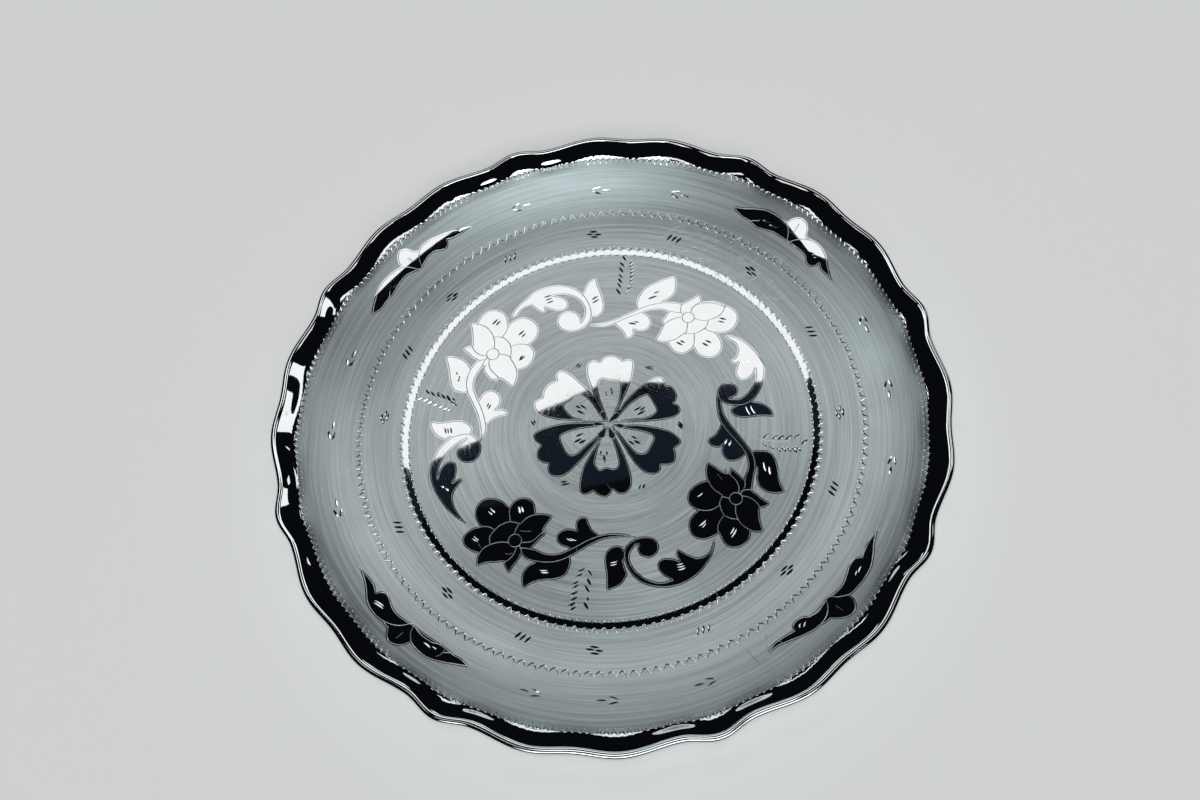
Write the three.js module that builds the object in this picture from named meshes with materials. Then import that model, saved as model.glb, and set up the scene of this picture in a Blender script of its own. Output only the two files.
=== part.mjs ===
// A shallow round decorative plate of sheet metal, with a pressed scalloped rim and a wired edge.
// The plate lies on its flat floor, centred on the Z axis, with its underside at Z = 0.
// Sizes are in millimetres and angles in degrees.
import * as THREE from "three";

// The sheet and the wire that its edge is rolled over
const overallDiameter = 300;
const sheetThickness = 1.0;
const wireDiameter = 1.8;
const wireClearance = 0.3;
const seamGap = 0.35;

// The dish: a flat floor, then one smooth curve that rises to the edge
const floorRadius = 92;
const riseAtEdge = 15.4;

// The scallops: equal groups round the rim, each with one small lobe between two halves of wide lobes
const lobeGroups = 8;
const firstSmallLobeAt = 7.6;
const smallLobeHalfAngle = 6;
const wideLobePeakAngle = 15.5;
const deepValley = 3.0;
const wideLobeShortfall = 0.1;
const shallowValley = 1.7;
const scallopFadeWidth = 11;

// How finely the surfaces are divided
const segmentsPerGroup = 18;
const dishSteps = 7;
const stepCrowding = 0.75;
const rollSteps = 8;
const wireSides = 6;
const meetingRounds = 40;

const rollRadius = wireDiameter / 2 + wireClearance + sheetThickness;
const rollCentreRadius = overallDiameter / 2 - rollRadius;
const boreRadius = rollRadius - sheetThickness;
const groupAngle = 360 / lobeGroups;
const segments = segmentsPerGroup * lobeGroups;

// The dish is a parabola that leaves the floor level. It meets the roll tangentially, so the radius at
// which they meet and the slope there depend on each other, and a few rounds settle both.
function meetRoll() {
  let radius = rollCentreRadius;
  let slope = 0;
  for (let round = 0; round < meetingRounds; round++) {
    slope = Math.atan((2 * riseAtEdge) / (radius - floorRadius));
    radius = rollCentreRadius - rollRadius * Math.sin(slope);
  }
  return { radius, slope };
}
const meeting = meetRoll();
const dishWidth = meeting.radius - floorRadius;
const rollCentreHeight = sheetThickness + riseAtEdge - rollRadius * Math.cos(meeting.slope);

// How far the rim draws in from its widest circle, at an angle round the plate
function drawIn(angle) {
  const turned = angle - firstSmallLobeAt;
  const fromSmallLobe = Math.abs(turned - groupAngle * Math.round(turned / groupAngle));
  const wave = (start, end, from, to) => {
    const share = (fromSmallLobe - start) / (end - start);
    return from + ((to - from) * (1 - Math.cos(Math.PI * share))) / 2;
  };
  if (fromSmallLobe < smallLobeHalfAngle) return wave(0, smallLobeHalfAngle, 0, deepValley);
  if (fromSmallLobe < wideLobePeakAngle) {
    return wave(smallLobeHalfAngle, wideLobePeakAngle, deepValley, wideLobeShortfall);
  }
  return wave(wideLobePeakAngle, groupAngle / 2, wideLobeShortfall, shallowValley);
}

// The scallops fade out over a band inside the roll
function scallopShare(radius) {
  const start = rollCentreRadius - rollRadius - scallopFadeWidth;
  return THREE.MathUtils.smoothstep(radius, start, start + scallopFadeWidth);
}

// A point of the sheet at a radius, as far below its top face as depth says
function sheetPoint(radius, depth) {
  const climb = Math.max(radius - floorRadius, 0) / dishWidth;
  const slope = Math.atan((2 * riseAtEdge * climb) / dishWidth);
  const height = sheetThickness + riseAtEdge * climb * climb;
  const point = new THREE.Vector2(
    radius + depth * Math.sin(slope),
    height - depth * Math.cos(slope),
  );
  return { point, share: scallopShare(radius) };
}

// Radii of the section's points on the dish, closer together towards the rim
function dishRadii() {
  const radii = [floorRadius];
  for (let step = 1; step <= dishSteps; step++) {
    radii.push(floorRadius + dishWidth * Math.pow(step / dishSteps, stepCrowding));
  }
  return radii;
}

// Points of an arc about the roll's centre. It starts where the dish meets it, turns outwards and down,
// and stops where its lip is still the seam gap below the underside of the dish.
function rollArc(radius, steps) {
  const startAngle = Math.PI / 2 + meeting.slope;
  const closingAngle = Math.acos((boreRadius - seamGap) / rollRadius);
  const sweep = 2 * Math.PI - closingAngle;
  const arc = [];
  for (let step = 0; step <= steps; step++) {
    const angle = startAngle - (sweep * step) / steps;
    const point = new THREE.Vector2(
      rollCentreRadius + radius * Math.cos(angle),
      rollCentreHeight + radius * Math.sin(angle),
    );
    arc.push({ point, share: 1 });
  }
  return arc;
}

// Spins a section about the plate's axis, then presses the scallops into it
function spinAndPress(section) {
  const profile = section.map((entry) => entry.point);
  const start = THREE.MathUtils.degToRad(firstSmallLobeAt) + Math.PI / 2;
  const geometry = new THREE.LatheGeometry(profile, segments, start, 2 * Math.PI);
  geometry.rotateX(Math.PI / 2);
  const position = geometry.getAttribute("position");
  for (let index = 0; index < position.count; index++) {
    const x = position.getX(index);
    const y = position.getY(index);
    const radius = Math.hypot(x, y);
    const share = section[index % section.length].share;
    if (radius === 0 || share === 0) continue;
    const angle = THREE.MathUtils.radToDeg(Math.atan2(y, x));
    const pressed = (radius - share * drawIn(angle)) / radius;
    position.setXY(index, x * pressed, y * pressed);
  }
  geometry.computeVertexNormals();
  return geometry;
}

// The sheet: out along its top face, round the roll and back along its underside
function plateBody() {
  const radii = dishRadii();
  const top = radii.map((radius) => sheetPoint(radius, 0));
  const underside = radii.map((radius) => sheetPoint(radius, sheetThickness));
  const centre = (height) => ({ point: new THREE.Vector2(0, height), share: 0 });
  const outside = rollArc(rollRadius, rollSteps);
  const inside = rollArc(boreRadius, rollSteps);
  const section = [
    centre(sheetThickness),
    ...top.slice(0, -1),
    ...outside,
    ...inside.reverse(),
    ...underside.slice(0, -1).reverse(),
    centre(0),
  ].reverse();
  const metal = new THREE.MeshStandardMaterial({ color: 0xc4c9c9, metalness: 1, roughness: 0.35 });
  const mesh = new THREE.Mesh(spinAndPress(section), metal);
  mesh.name = "plate_body";
  return mesh;
}

// The wire inside the rolled edge, which follows every scallop
function rimWire() {
  const section = [];
  for (let side = 0; side <= wireSides; side++) {
    const angle = (2 * Math.PI * (side % wireSides)) / wireSides;
    const point = new THREE.Vector2(
      rollCentreRadius + (wireDiameter / 2) * Math.cos(angle),
      rollCentreHeight + (wireDiameter / 2) * Math.sin(angle),
    );
    section.push({ point, share: 1 });
  }
  const wire = new THREE.MeshStandardMaterial({ color: 0x9a9c9e, metalness: 1, roughness: 0.45 });
  const mesh = new THREE.Mesh(spinAndPress(section), wire);
  mesh.name = "rim_wire";
  return mesh;
}

const plate = new THREE.Group();
plate.add(plateBody(), rimWire());
export default plate;
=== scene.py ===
# %% [markdown]
# # A decorative plate, spun and cut by hand
# This lesson dresses the solid plate with everything that a hand engraver adds to it: polished motifs,
# graver lines round them, bright cuts, wriggle-cut borders and the scratches of years of use.
# The frame holds the plain solids. The script reads them first and keeps their box.

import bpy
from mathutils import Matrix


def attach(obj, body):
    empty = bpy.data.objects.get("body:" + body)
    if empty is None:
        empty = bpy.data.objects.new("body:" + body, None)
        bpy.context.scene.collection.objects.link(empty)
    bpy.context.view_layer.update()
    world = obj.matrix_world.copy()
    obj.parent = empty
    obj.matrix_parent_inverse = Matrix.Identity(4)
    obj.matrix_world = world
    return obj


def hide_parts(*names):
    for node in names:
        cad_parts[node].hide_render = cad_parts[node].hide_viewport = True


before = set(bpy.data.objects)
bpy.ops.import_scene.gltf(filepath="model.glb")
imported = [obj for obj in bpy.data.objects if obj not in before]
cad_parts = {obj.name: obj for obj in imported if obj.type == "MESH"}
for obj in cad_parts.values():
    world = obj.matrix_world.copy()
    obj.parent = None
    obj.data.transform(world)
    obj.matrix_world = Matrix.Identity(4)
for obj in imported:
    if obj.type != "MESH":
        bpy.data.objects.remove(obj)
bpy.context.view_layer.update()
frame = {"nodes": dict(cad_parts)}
print("solids in the frame:", ", ".join(frame["nodes"]))

# %% What the lesson works with
import math
import bpy
import numpy as np
from mathutils import Matrix, Vector, geometry
from mathutils.kdtree import KDTree

MM = 0.001
SEED = 21
TINY = 1e-30
rng = np.random.default_rng(SEED)

# %% [markdown]
# ## The sheet
# The real plate is one disc of thin metal. It is spun on a lathe to a flat floor and a rising flange, and
# the scallops are pressed into its edge before the edge is rolled over a wire.
# The solid's own faces are too large to be cut into, and a fine displacement would blur the cuts. So the
# sheet is laid out again here from the same sizes, as rules that any point on it can be put through.
# Everything is placed by an angle and by the radius that it had before the scallops were pressed. A border
# that is cut at one radius then follows the scallops as the real one does.

# %% Sizes in millimetres and degrees
OVERALL_DIAMETER = 300.0
SHEET = 1.0
WIRE = 1.8
WIRE_CLEARANCE = 0.3
SEAM_GAP = 0.35
FLOOR_RADIUS = 92.0
RISE = 15.4
LOBE_GROUPS = 8
FIRST_SMALL_LOBE = 7.6
SMALL_LOBE_HALF_ANGLE = 6.0
WIDE_LOBE_PEAK = 15.5
DEEP_VALLEY = 3.0
WIDE_LOBE_SHORTFALL = 0.1
SHALLOW_VALLEY = 1.7
SCALLOP_FADE = 11.0

solid = frame["nodes"]["plate_body"]
corners = np.array([vertex.co[:] for vertex in solid.data.vertices]) / MM
solid_radius = float(np.hypot(corners[:, 0], corners[:, 1]).max())
ROLL = WIRE / 2 + WIRE_CLEARANCE + SHEET
BORE = ROLL - SHEET
ROLL_CENTRE = OVERALL_DIAMETER / 2 - ROLL
GROUP_ANGLE = 360 / LOBE_GROUPS
print("radius over the lobe tips in the solid:", round(solid_radius, 2), "mm, roll radius:", ROLL, "mm")

# %% Where the dish meets the roll
SLOPE_ROUNDS = 40
meeting_slope = 0.0
meeting_radius = ROLL_CENTRE
for _ in range(SLOPE_ROUNDS):
    meeting_slope = math.atan(2 * RISE / (meeting_radius - FLOOR_RADIUS))
    meeting_radius = ROLL_CENTRE - ROLL * math.sin(meeting_slope)
DISH_WIDTH = meeting_radius - FLOOR_RADIUS
ROLL_HEIGHT = SHEET + RISE - ROLL * math.cos(meeting_slope)
print("the dish meets the roll at", round(meeting_radius, 2), "mm")
print("its slope there, in degrees:", round(math.degrees(meeting_slope), 1))

# %% The scallops
def draw_in(angle):
    turned = angle - FIRST_SMALL_LOBE
    off = np.abs(turned - GROUP_ANGLE * np.round(turned / GROUP_ANGLE))

    def wave(start, end, before, after):
        share = (off - start) / (end - start)
        return before + (after - before) * (1 - np.cos(np.pi * share)) / 2

    small = wave(0, SMALL_LOBE_HALF_ANGLE, 0, DEEP_VALLEY)
    rising = wave(SMALL_LOBE_HALF_ANGLE, WIDE_LOBE_PEAK, DEEP_VALLEY, WIDE_LOBE_SHORTFALL)
    falling = wave(WIDE_LOBE_PEAK, GROUP_ANGLE / 2, WIDE_LOBE_SHORTFALL, SHALLOW_VALLEY)
    wide = np.where(off < WIDE_LOBE_PEAK, rising, falling)
    return np.where(off < SMALL_LOBE_HALF_ANGLE, small, wide)


def eased(share):
    return share * share * (3 - 2 * share)


def scallop_share(radius):
    start = ROLL_CENTRE - ROLL - SCALLOP_FADE
    return eased(np.clip((radius - start) / SCALLOP_FADE, 0, 1))


def pressed(radius, angle, height, share):
    out = radius - share * draw_in(angle)
    turn = np.radians(angle)
    return np.stack(np.broadcast_arrays(out * np.cos(turn), out * np.sin(turn), height), -1) * MM


print("the edge is drawn in by", round(float(draw_in(SMALL_LOBE_HALF_ANGLE + FIRST_SMALL_LOBE)), 2), "mm")

# %% [markdown]
# Just outside the border on the rim, the edge was pressed down a step that is too shallow for the solid.
# Its far side tips towards the light behind the plate, which draws white strips along the far border.

# %% Any point of the sheet, and the way up from it
SWAGE_START = 138.5
SWAGE_FALL = 1.9
SWAGE_RETURN = 4.2
SWAGE_DEPTH = 0.16
LITTLE_STEP = 0.01
FLAT_WITHIN = FLOOR_RADIUS - 0.5
STRAIGHT_UP = np.array([0.0, 0.0, 1.0])


def swage(radius):
    down = np.clip((radius - SWAGE_START) / SWAGE_FALL, 0, 1)
    back = np.clip((radius - SWAGE_START - SWAGE_FALL) / SWAGE_RETURN, 0, 1)
    return SWAGE_DEPTH * (eased(down) - eased(back))


def on_sheet(radius, angle, depth=0.0):
    climb = np.maximum(radius - FLOOR_RADIUS, 0) / DISH_WIDTH
    slope = np.arctan(2 * RISE * climb / DISH_WIDTH)
    height = SHEET + RISE * climb**2 - swage(radius) - depth * np.cos(slope)
    return pressed(radius + depth * np.sin(slope), angle, height, scallop_share(radius))


def unit(vectors, least=TINY):
    return vectors / np.maximum(np.linalg.norm(vectors, axis=-1, keepdims=True), least)


def up_from_sheet(radius, angle):
    outward = on_sheet(radius + LITTLE_STEP, angle) - on_sheet(radius - LITTLE_STEP, angle)
    sideways = on_sheet(radius, angle + LITTLE_STEP) - on_sheet(radius, angle - LITTLE_STEP)
    normal = unit(np.cross(outward, sideways))
    flat = np.broadcast_to(np.asarray(radius)[..., None] < FLAT_WITHIN, normal.shape)
    return np.where(flat, STRAIGHT_UP, normal)


meeting_height = on_sheet(np.array(meeting_radius), np.array(0.0))[2] / MM
print("height at the meeting:", round(float(meeting_height), 2), "mm")

# %% [markdown]
# ## The engraver's drawing
# A craftsman marks each motif on the metal and cuts round it. One outline could be set four times by an
# array, but no two motifs on the real plate are alike, so each of the four flower sprays and the four
# winged buds has its own outline here.
# Points are in millimetres from the plate's centre, with the motif turned back to the top of the plate.
# The line is smooth through the points and turns sharply where CORNER stands.

# %% The spray that starts at the back
CORNER = None
SPRAY_BACK = {
    "turn": 0.5,
    "heart": (46.3, 46.5, 2.8),
    "scroll": [
        (-34.3, 65.1), (-33, 68), (-29.3, 71.5), (-25.5, 74), (-21.8, 76.7), (-16.5, 78), (-10.5, 77.8),
        (-5, 75.8), (-0.9, 72.5), (2, 67.7), (3.1, 62.3), (2.7, 57.5), (0.3, 53.8), (-4, 51.7),
        (-8.6, 51.8), (-12.4, 54), (-13.7, 57.6), (-12, 61.3), (-8.2, 62.7), (-4.4, 61.2), (-2.8, 58),
        (-2.8, 55.1), CORNER, (-0.3, 59.2), (0.1, 63), (-1.5, 67.6), (-4.8, 70.8), (-9.3, 72.6),
        (-14, 73), CORNER, (-10, 71.1), (-7.4, 68.6), (-7.3, 65.5), (-9.8, 63.8), (-13.6, 64.6),
        (-18, 67.4), CORNER, (-18, 65.4), (-19.3, 64.2), CORNER, (-21.8, 67), (-24.2, 70), CORNER,
        (-28.3, 69.1), (-31.7, 65.9), (-34.3, 65.1),
    ],
    "scroll_leaf": [
        (3, 57.1), (5.5, 57), (8, 58.6), (9.2, 61.5), (9.5, 65), (9.2, 69), (8.5, 73), (8.2, 77.4),
        CORNER, (6, 76.9), (3.7, 75.2), (1, 70.8), CORNER, (2.6, 67.5), (3.3, 63), (3, 57.1),
    ],
    "stem": [
        (-0.3, 53.8), (4, 53), (9, 52.8), (14, 53.5), (19, 54.8), (25, 56.5), (31, 57.5), (37, 57.2),
        (42, 55.7), (45.2, 54.3), CORNER, (44.2, 51.8), (43.9, 49.3), CORNER, (41, 50.3), (38.2, 51.7),
        (34.5, 53.8), (30, 54.5), (25, 53.8), (19, 52.6), (13.5, 51.3), (8, 50.6), (3, 51.9),
        (-0.3, 53.8),
    ],
    "stem_leaf": [
        (24, 56.6), (24.8, 60.6), (27.6, 64.6), (31.5, 67.4), (36.5, 68.8), (41, 69.7), (45.2, 70),
        CORNER, (44.8, 66.5), (43.8, 62.3), (41.2, 59.4), (38, 57.9), CORNER, (33, 57.9), (28, 57.3),
        (24, 56.6),
    ],
    "bud": [
        (26.3, 53.9), (28.3, 52), (29.1, 49.3), (28.6, 46.9), (26.8, 44.9), (24.3, 44.4), (22, 45),
        (20.5, 46.2), CORNER, (20.2, 44.2), (18.9, 42.5), (16.3, 41.9), CORNER, (15.7, 44.5), (15, 46.9),
        (12.4, 50.6), CORNER, (18, 52.3), (26.3, 53.9),
    ],
}
print("lines round the back spray's scroll and stem:", len(SPRAY_BACK) - 2)

# %% The flower and the small marks of the spray at the back
SPRAY_BACK |= {
    "upper_sepal": [
        (43.9, 49.3), (44.2, 51.8), (45.8, 54.4), (49.7, 55.9), (54.3, 57.7), CORNER, (54.1, 55.2),
        (54.5, 53.2), CORNER, (51.6, 52.2), (49.3, 50.6), (48.3, 48.2),
    ],
    "lower_sepal": [
        (43.9, 49.2), (41, 50.3), (38, 51.1), (36, 49.3), (33.5, 47.1), CORNER, (34.4, 46.4),
        (34.1, 44.7), CORNER, (37, 46.3), (40.5, 47.2), (43.6, 47.1),
    ],
    "petal_1": [
        (48.3, 48.2), (49.3, 50.6), (51.6, 52.2), (54.5, 53.2), (58, 52.6), (61.3, 51.6), (64.7, 48.9),
        CORNER, (63, 46), (60, 43.7), (55.3, 42.8), (51.2, 43.6), (48.6, 45.4),
    ],
    "petal_2": [
        (48.6, 45.4), (51.2, 43.6), (55.3, 42.8), CORNER, (54.5, 40.8), (52.9, 39.1), (50.2, 37.8),
        (47.5, 37.3), (45, 37.7), (42.9, 38.4), CORNER, (44.1, 40.6), (45.2, 43.8),
    ],
    "petal_3": [
        (43.6, 47.1), (40.5, 47.2), (37, 46.3), (34.1, 44.7), (31.6, 41.4), (29, 38.3), CORNER,
        (32, 36.6), (35.3, 36), (38.8, 36.5), (42.9, 38.4), CORNER, (44.1, 40.6), (45.2, 43.8),
    ],
    "petal_4": [
        (34.4, 35.9), (35, 33), (36.3, 30.6), (38.5, 29), (41, 28.6), (43.5, 29.4), (45.4, 30.8),
        (46.6, 33.3), (47.5, 37.3), CORNER, (45, 37.7), (42.9, 38.4), CORNER, (38.8, 36.5), (34.4, 35.9),
    ],
    "petal_5": [
        (45.4, 30.8), (46.3, 27.5), (48.5, 25), (51.5, 23.7), (54.5, 23.9), (57, 25.8), (58.4, 29),
        (58.1, 33), (56.8, 36), (54.7, 37.4), (52.9, 39.1), CORNER, (50.2, 37.8), (47.5, 37.3), CORNER,
        (46.6, 33.3), (45.4, 30.8),
    ],
    "petal_6": [
        (55.3, 42.8), (54.5, 40.8), (52.9, 39.1), CORNER, (54.7, 37.4), (58, 35.6), (61.7, 35), (65, 36),
        (67.7, 39), (68.8, 43), (67.3, 46.5), (64.7, 48.9), CORNER, (63, 46), (60, 43.7), (55.3, 42.8),
    ],
    "second_cuts": [
        [(24, 57), (23.9, 58.6), (24.4, 61)],
        [(51.8, 52.3), (56, 52.2), (60, 51), (64.3, 47.8)],
    ],
    "stalk": [(19, 66.5), (20.5, 70), (21.8, 74), (22.9, 78), (23.4, 82)],
    "ear": [
        (18, 65.9, 16.6, 69.6), (19, 69.5, 17.8, 72.6), (19.8, 72.1, 18.6, 75), (20.5, 74.6, 19.4, 77.4),
        (21.5, 77.6, 20.2, 81), (22.6, 80.8, 21, 84), (24, 83.7, 22.9, 87), (20.1, 65.6, 23.2, 67.6),
        (21.6, 67.9, 24.3, 70), (23.3, 70, 25.3, 71.5), (23.5, 71.9, 26, 73.8), (24, 74, 26.8, 76.2),
        (24.5, 76.2, 27.2, 78.1), (25, 78.2, 27.5, 79.9), (24.9, 79.9, 27.8, 81.9),
        (25.3, 81.6, 27.8, 83.6),
    ],
    "dashes": [
        (-17.5, 72.6, -14.1, 73), (-17.1, 70.9, -13.8, 71.4), (-16.6, 69.2, -13.4, 69.8),
        (4.5, 66.3, 7.4, 67.5), (4.3, 64.4, 7.6, 65.6), (30.3, 60.6, 34.5, 61.2), (33.5, 63, 36, 63.3),
        (18.8, 49.9, 22, 48.6), (21.3, 50.1, 23.5, 49.2), (38.3, 35, 40.7, 32.8), (40.2, 35.5, 42, 33.7),
        (49.8, 31.9, 52, 29.7), (51.5, 32.9, 53.7, 31), (59.2, 41.5, 61.9, 40.1), (60.3, 42.9, 63, 41.5),
    ],
    "light_dashes": [],
}
print("the back spray is turned by", SPRAY_BACK["turn"], "degrees")

# %% The spray that starts at the left
SPRAY_LEFT = {
    "turn": 88.9,
    "heart": (46.7, 47.1, 2.9),
    "scroll": [
        (-34.4, 68.4), (-31.5, 71.7), (-27, 75.4), (-22, 78.2), (-16, 80.6), (-10, 81.7), (-4.5, 81),
        (1, 78.3), (5.3, 74.7), (8, 70), (8.8, 65.6), (8, 61.8), (5.2, 59.2), (2.2, 57.9), (-1.5, 58.1),
        (-4.8, 60.2), (-5.9, 63.5), (-4.8, 66.8), (-1.7, 68.7), (1.6, 68.3), (4.3, 66.2), (6.2, 63.5),
        CORNER, (5, 67.2), (2.7, 70.9), (-0.6, 74.4), (-5.5, 77.4), (-11.4, 78.7), CORNER, (-7.6, 77.2),
        (-4.7, 74.9), (-3.9, 72.5), (-5.2, 70.1), (-8.3, 69.9), (-11.8, 70.7), (-14.3, 72.3), CORNER,
        (-13.3, 70), (-12.9, 68.2), (-13.8, 67.7), CORNER, (-17.5, 71.2), (-20.7, 72.9), (-25.5, 72.6),
        (-30, 70.9), (-34.4, 68.4),
    ],
    "scroll_leaf": [
        (8.4, 61.4), (10.5, 60.7), (12.9, 62), (15, 64.5), (16, 68), (16.1, 72), (16.5, 76), (17.9, 78.7),
        CORNER, (15.3, 79.2), (12, 78.3), (9.3, 76.3), (7.3, 73.8), CORNER, (8.5, 70.5), (8.9, 66.5),
        (8.4, 61.4),
    ],
    "stem": [
        (2.8, 58.2), (7, 57.3), (12, 57.1), (18, 57.9), (24, 59.6), (30, 61.2), (36, 60.8), (41, 58.3),
        (44.3, 55.2), CORNER, (44.9, 53), (44.9, 50.2), CORNER, (41.5, 52.5), (38.6, 54.9), (35, 57),
        (31, 57.8), (26.5, 57), (21, 55.5), (15, 54.4), (9, 54.3), (5.5, 56.2), (2.8, 58.2),
    ],
    "stem_leaf": [
        (29.2, 61.2), (29.8, 64.4), (32.2, 67.3), (36.5, 68.2), (43, 68.3), (49.8, 69), CORNER,
        (49.1, 65.5), (47, 61.7), (44, 59.1), (41.5, 58.4), CORNER, (37, 60.5), (33, 61.3), (29.2, 61.2),
    ],
    "bud": [
        (24.1, 56.1), (26.7, 54.3), (27.9, 51), (26.9, 47.9), (23.6, 46.2), (20, 47.1), (17.7, 49.5),
        CORNER, (17.7, 46.8), (16.3, 44.4), (14, 44.1), CORNER, (14.2, 47), (13.4, 50.8), (11, 54.2),
        CORNER, (17.5, 54.9), (24.1, 56.1),
    ],
}
print("lines round the left spray's scroll and stem:", len(SPRAY_LEFT) - 2)

# %% The flower and the small marks of the spray at the left
SPRAY_LEFT |= {
    "upper_sepal": [
        (45, 50.2), (44.9, 53.4), (46.3, 56.2), (49, 58.2), (52.2, 60.8), CORNER, (53, 58.5), (53.1, 56),
        CORNER, (50.3, 55), (47.9, 52.9), (46.6, 50.1),
    ],
    "lower_sepal": [
        (44.8, 50.4), (42, 51.7), (39.4, 52.3), (36.3, 51.1), (32.4, 48.8), CORNER, (33.6, 48.1), CORNER,
        (31.3, 46.9), CORNER, (34.5, 46), (38, 48.2), (41.5, 49.2), (44.1, 48.6),
    ],
    "petal_1": [
        (46.6, 50.1), (47.9, 52.9), (50.3, 55), (54, 55.8), (59, 55.4), (65.3, 55.6), CORNER,
        (64.2, 51.6), (61.8, 48.2), (58.9, 46.4), (55.9, 45.4), (52.5, 45.2), (49.5, 45.8),
    ],
    "petal_2": [
        (49.5, 45.8), (52.5, 45.2), (55.9, 45.4), CORNER, (55.6, 43.2), (54.6, 41), (51.8, 38.9),
        (49.2, 38.1), (46, 38.2), (43, 39), CORNER, (44.8, 41.4), (45.9, 44.2),
    ],
    "petal_3": [
        (44.1, 48.6), (41.5, 49.2), (38, 48.2), (34.5, 46), (31.3, 43), (27.6, 40), CORNER, (30.5, 38.1),
        (34, 37), (38.2, 37.2), (43, 39), CORNER, (44.8, 41.4), (45.9, 44.2),
    ],
    "petal_4": [
        (36.4, 36.9), (36.6, 33.6), (38, 30.9), (40.8, 28.7), (44, 27.9), (47, 28.8), (48.9, 30.8),
        (49.9, 34.5), (49.6, 38.1), CORNER, (46, 38.2), (43, 39), CORNER, (39.8, 37.7), (36.4, 36.9),
    ],
    "petal_5": [
        (48.3, 29.9), (50.5, 26.8), (53.5, 24.9), (56.6, 24.3), (60, 25.8), (62.6, 28.9), (63.3, 32),
        (62.2, 35.6), (60.2, 38.4), (57.5, 39.8), (55.6, 41.5), CORNER, (52.8, 39.5), (49.6, 38.1),
        CORNER, (49.9, 34.5), (48.3, 29.9),
    ],
    "petal_6": [
        (55.9, 45.4), (55.7, 43.3), (55.5, 41.4), CORNER, (58, 39.5), (61.5, 38.3), (65, 38.2),
        (68, 39.8), (69.9, 43), (69.9, 46.5), (68.4, 49.5), (65.1, 52.4), CORNER, (64.2, 51.6),
        (61.8, 48.2), (58.9, 46.4), (55.9, 45.4),
    ],
    "second_cuts": [
        [(-16, 81.8), (-12, 82.7), (-8, 82.5), (-4, 81.5)],
        [(33.5, 56.4), (36.5, 54.8), (39.5, 52.4), (41.8, 50.9)],
    ],
    "stalk": [],
    "ear": [
        (21.9, 69, 21.2, 71.3), (23, 70, 22.2, 73), (24.4, 72, 23.6, 75), (26, 74.5, 25.1, 77.5),
        (27.6, 76.8, 26.6, 80), (29.2, 78.6, 28.1, 82), (30.5, 81.3, 29.5, 84.2), (23.2, 66.4, 26, 69),
        (26, 69, 29.5, 70.5), (25.6, 66.8, 27.8, 68), (27.1, 71, 30.6, 72.8), (28.4, 73.2, 31.5, 75),
        (30.5, 73.6, 32.2, 74.6), (29.3, 75.4, 33, 77.6), (31, 78, 34.3, 79.8),
    ],
    "dashes": [
        (10.3, 72.7, 13.3, 73), (10.2, 71.6, 12.8, 71.7), (10, 70.2, 12.8, 70.3), (35.5, 64.3, 37, 64.2),
        (36.9, 63.7, 38.4, 63.8), (39.2, 64.7, 40.7, 64.7), (18.8, 52.4, 20.9, 51),
        (20, 52.9, 21.9, 51.8), (41, 35.5, 42.5, 32.5), (42, 35, 43.3, 33.4), (54.3, 34, 56.2, 31),
        (53, 32.7, 54.5, 30.5), (62.5, 45.4, 64.8, 42.6), (61.7, 43.8, 63.7, 41.4),
    ],
    "light_dashes": [(-17.8, 74.4, -16, 75.5), (-16, 76.3, -14.6, 77.2)],
}
print("the left spray is turned by", SPRAY_LEFT["turn"], "degrees")

# %% The spray that starts at the front
SPRAY_FRONT = {
    "turn": 177.7,
    "heart": (47.1, 47.3, 2.9),
    "scroll": [
        (-37.3, 60.5), (-36.8, 64), (-34, 69), (-28, 74.8), (-20, 78.2), (-12, 78.2), (-4.7, 75.2),
        (0, 69.6), (1.7, 63), (0.5, 58.2), (-3.6, 55.3), (-7.5, 54.7), (-11.6, 55.8), (-13.6, 59.5),
        (-12.3, 62.8), (-9, 64.3), (-5.6, 62.8), (-4.5, 59.8), (-5.5, 57.7), CORNER, (-3, 58.6),
        (-0.8, 61.8), (-0.7, 65.4), (-2.6, 69.7), (-6.5, 73.7), (-12, 76), (-17, 75.7), CORNER,
        (-14, 73.3), (-11.9, 69.8), (-12.5, 66.9), (-15, 65.7), (-18.8, 66.6), (-21.3, 68), CORNER,
        (-20.5, 64.7), (-21.3, 62.4), CORNER, (-24.5, 65.2), (-29.5, 67.8), (-34.5, 65.8), (-37.3, 60.5),
    ],
    "scroll_leaf": [
        (1.5, 57.8), (4, 56.8), (6.5, 57.2), (8.9, 59.2), (10.1, 63), (10.1, 69), (11, 75.8), CORNER,
        (7.2, 75.2), (4, 73.5), (1.3, 70.1), CORNER, (2.2, 66), (2.3, 63), (1.5, 57.8),
    ],
    "stem": [
        (-4.5, 54.2), (0.5, 53.3), (6, 52.8), (11, 53.3), (17, 55.3), (24, 58.3), (30, 59.8), (36, 59.3),
        (42.5, 56.8), (45, 53.5), (45.2, 50.7), CORNER, (42.5, 51.3), (38.5, 52.9), (34.5, 55.4),
        (29, 56.2), (22, 54.3), (16, 52), (9, 50.8), (2, 51.6), (-4.5, 54.2),
    ],
    "stem_leaf": [
        (24.3, 58.7), (24.8, 62), (27.4, 66.1), (31.5, 67.4), (38, 67), (42, 67.6), (45.8, 69.3), CORNER,
        (46.2, 66), (45.2, 62.2), (42.5, 59.5), (39.5, 58.6), CORNER, (32, 60), (24.3, 58.7),
    ],
    "bud": [
        (24.2, 54.5), (27.3, 52.9), (29.1, 50), (28.3, 47.2), (24.8, 45.7), (21.8, 46.3), (20, 47.3),
        CORNER, (20.3, 45), (19.4, 42.6), (17.4, 41.5), (15.3, 41.5), CORNER, (14.7, 44.3), (13.6, 47.8),
        (11, 50.6), CORNER, (17, 51.9), (24.2, 54.5),
    ],
}
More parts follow.
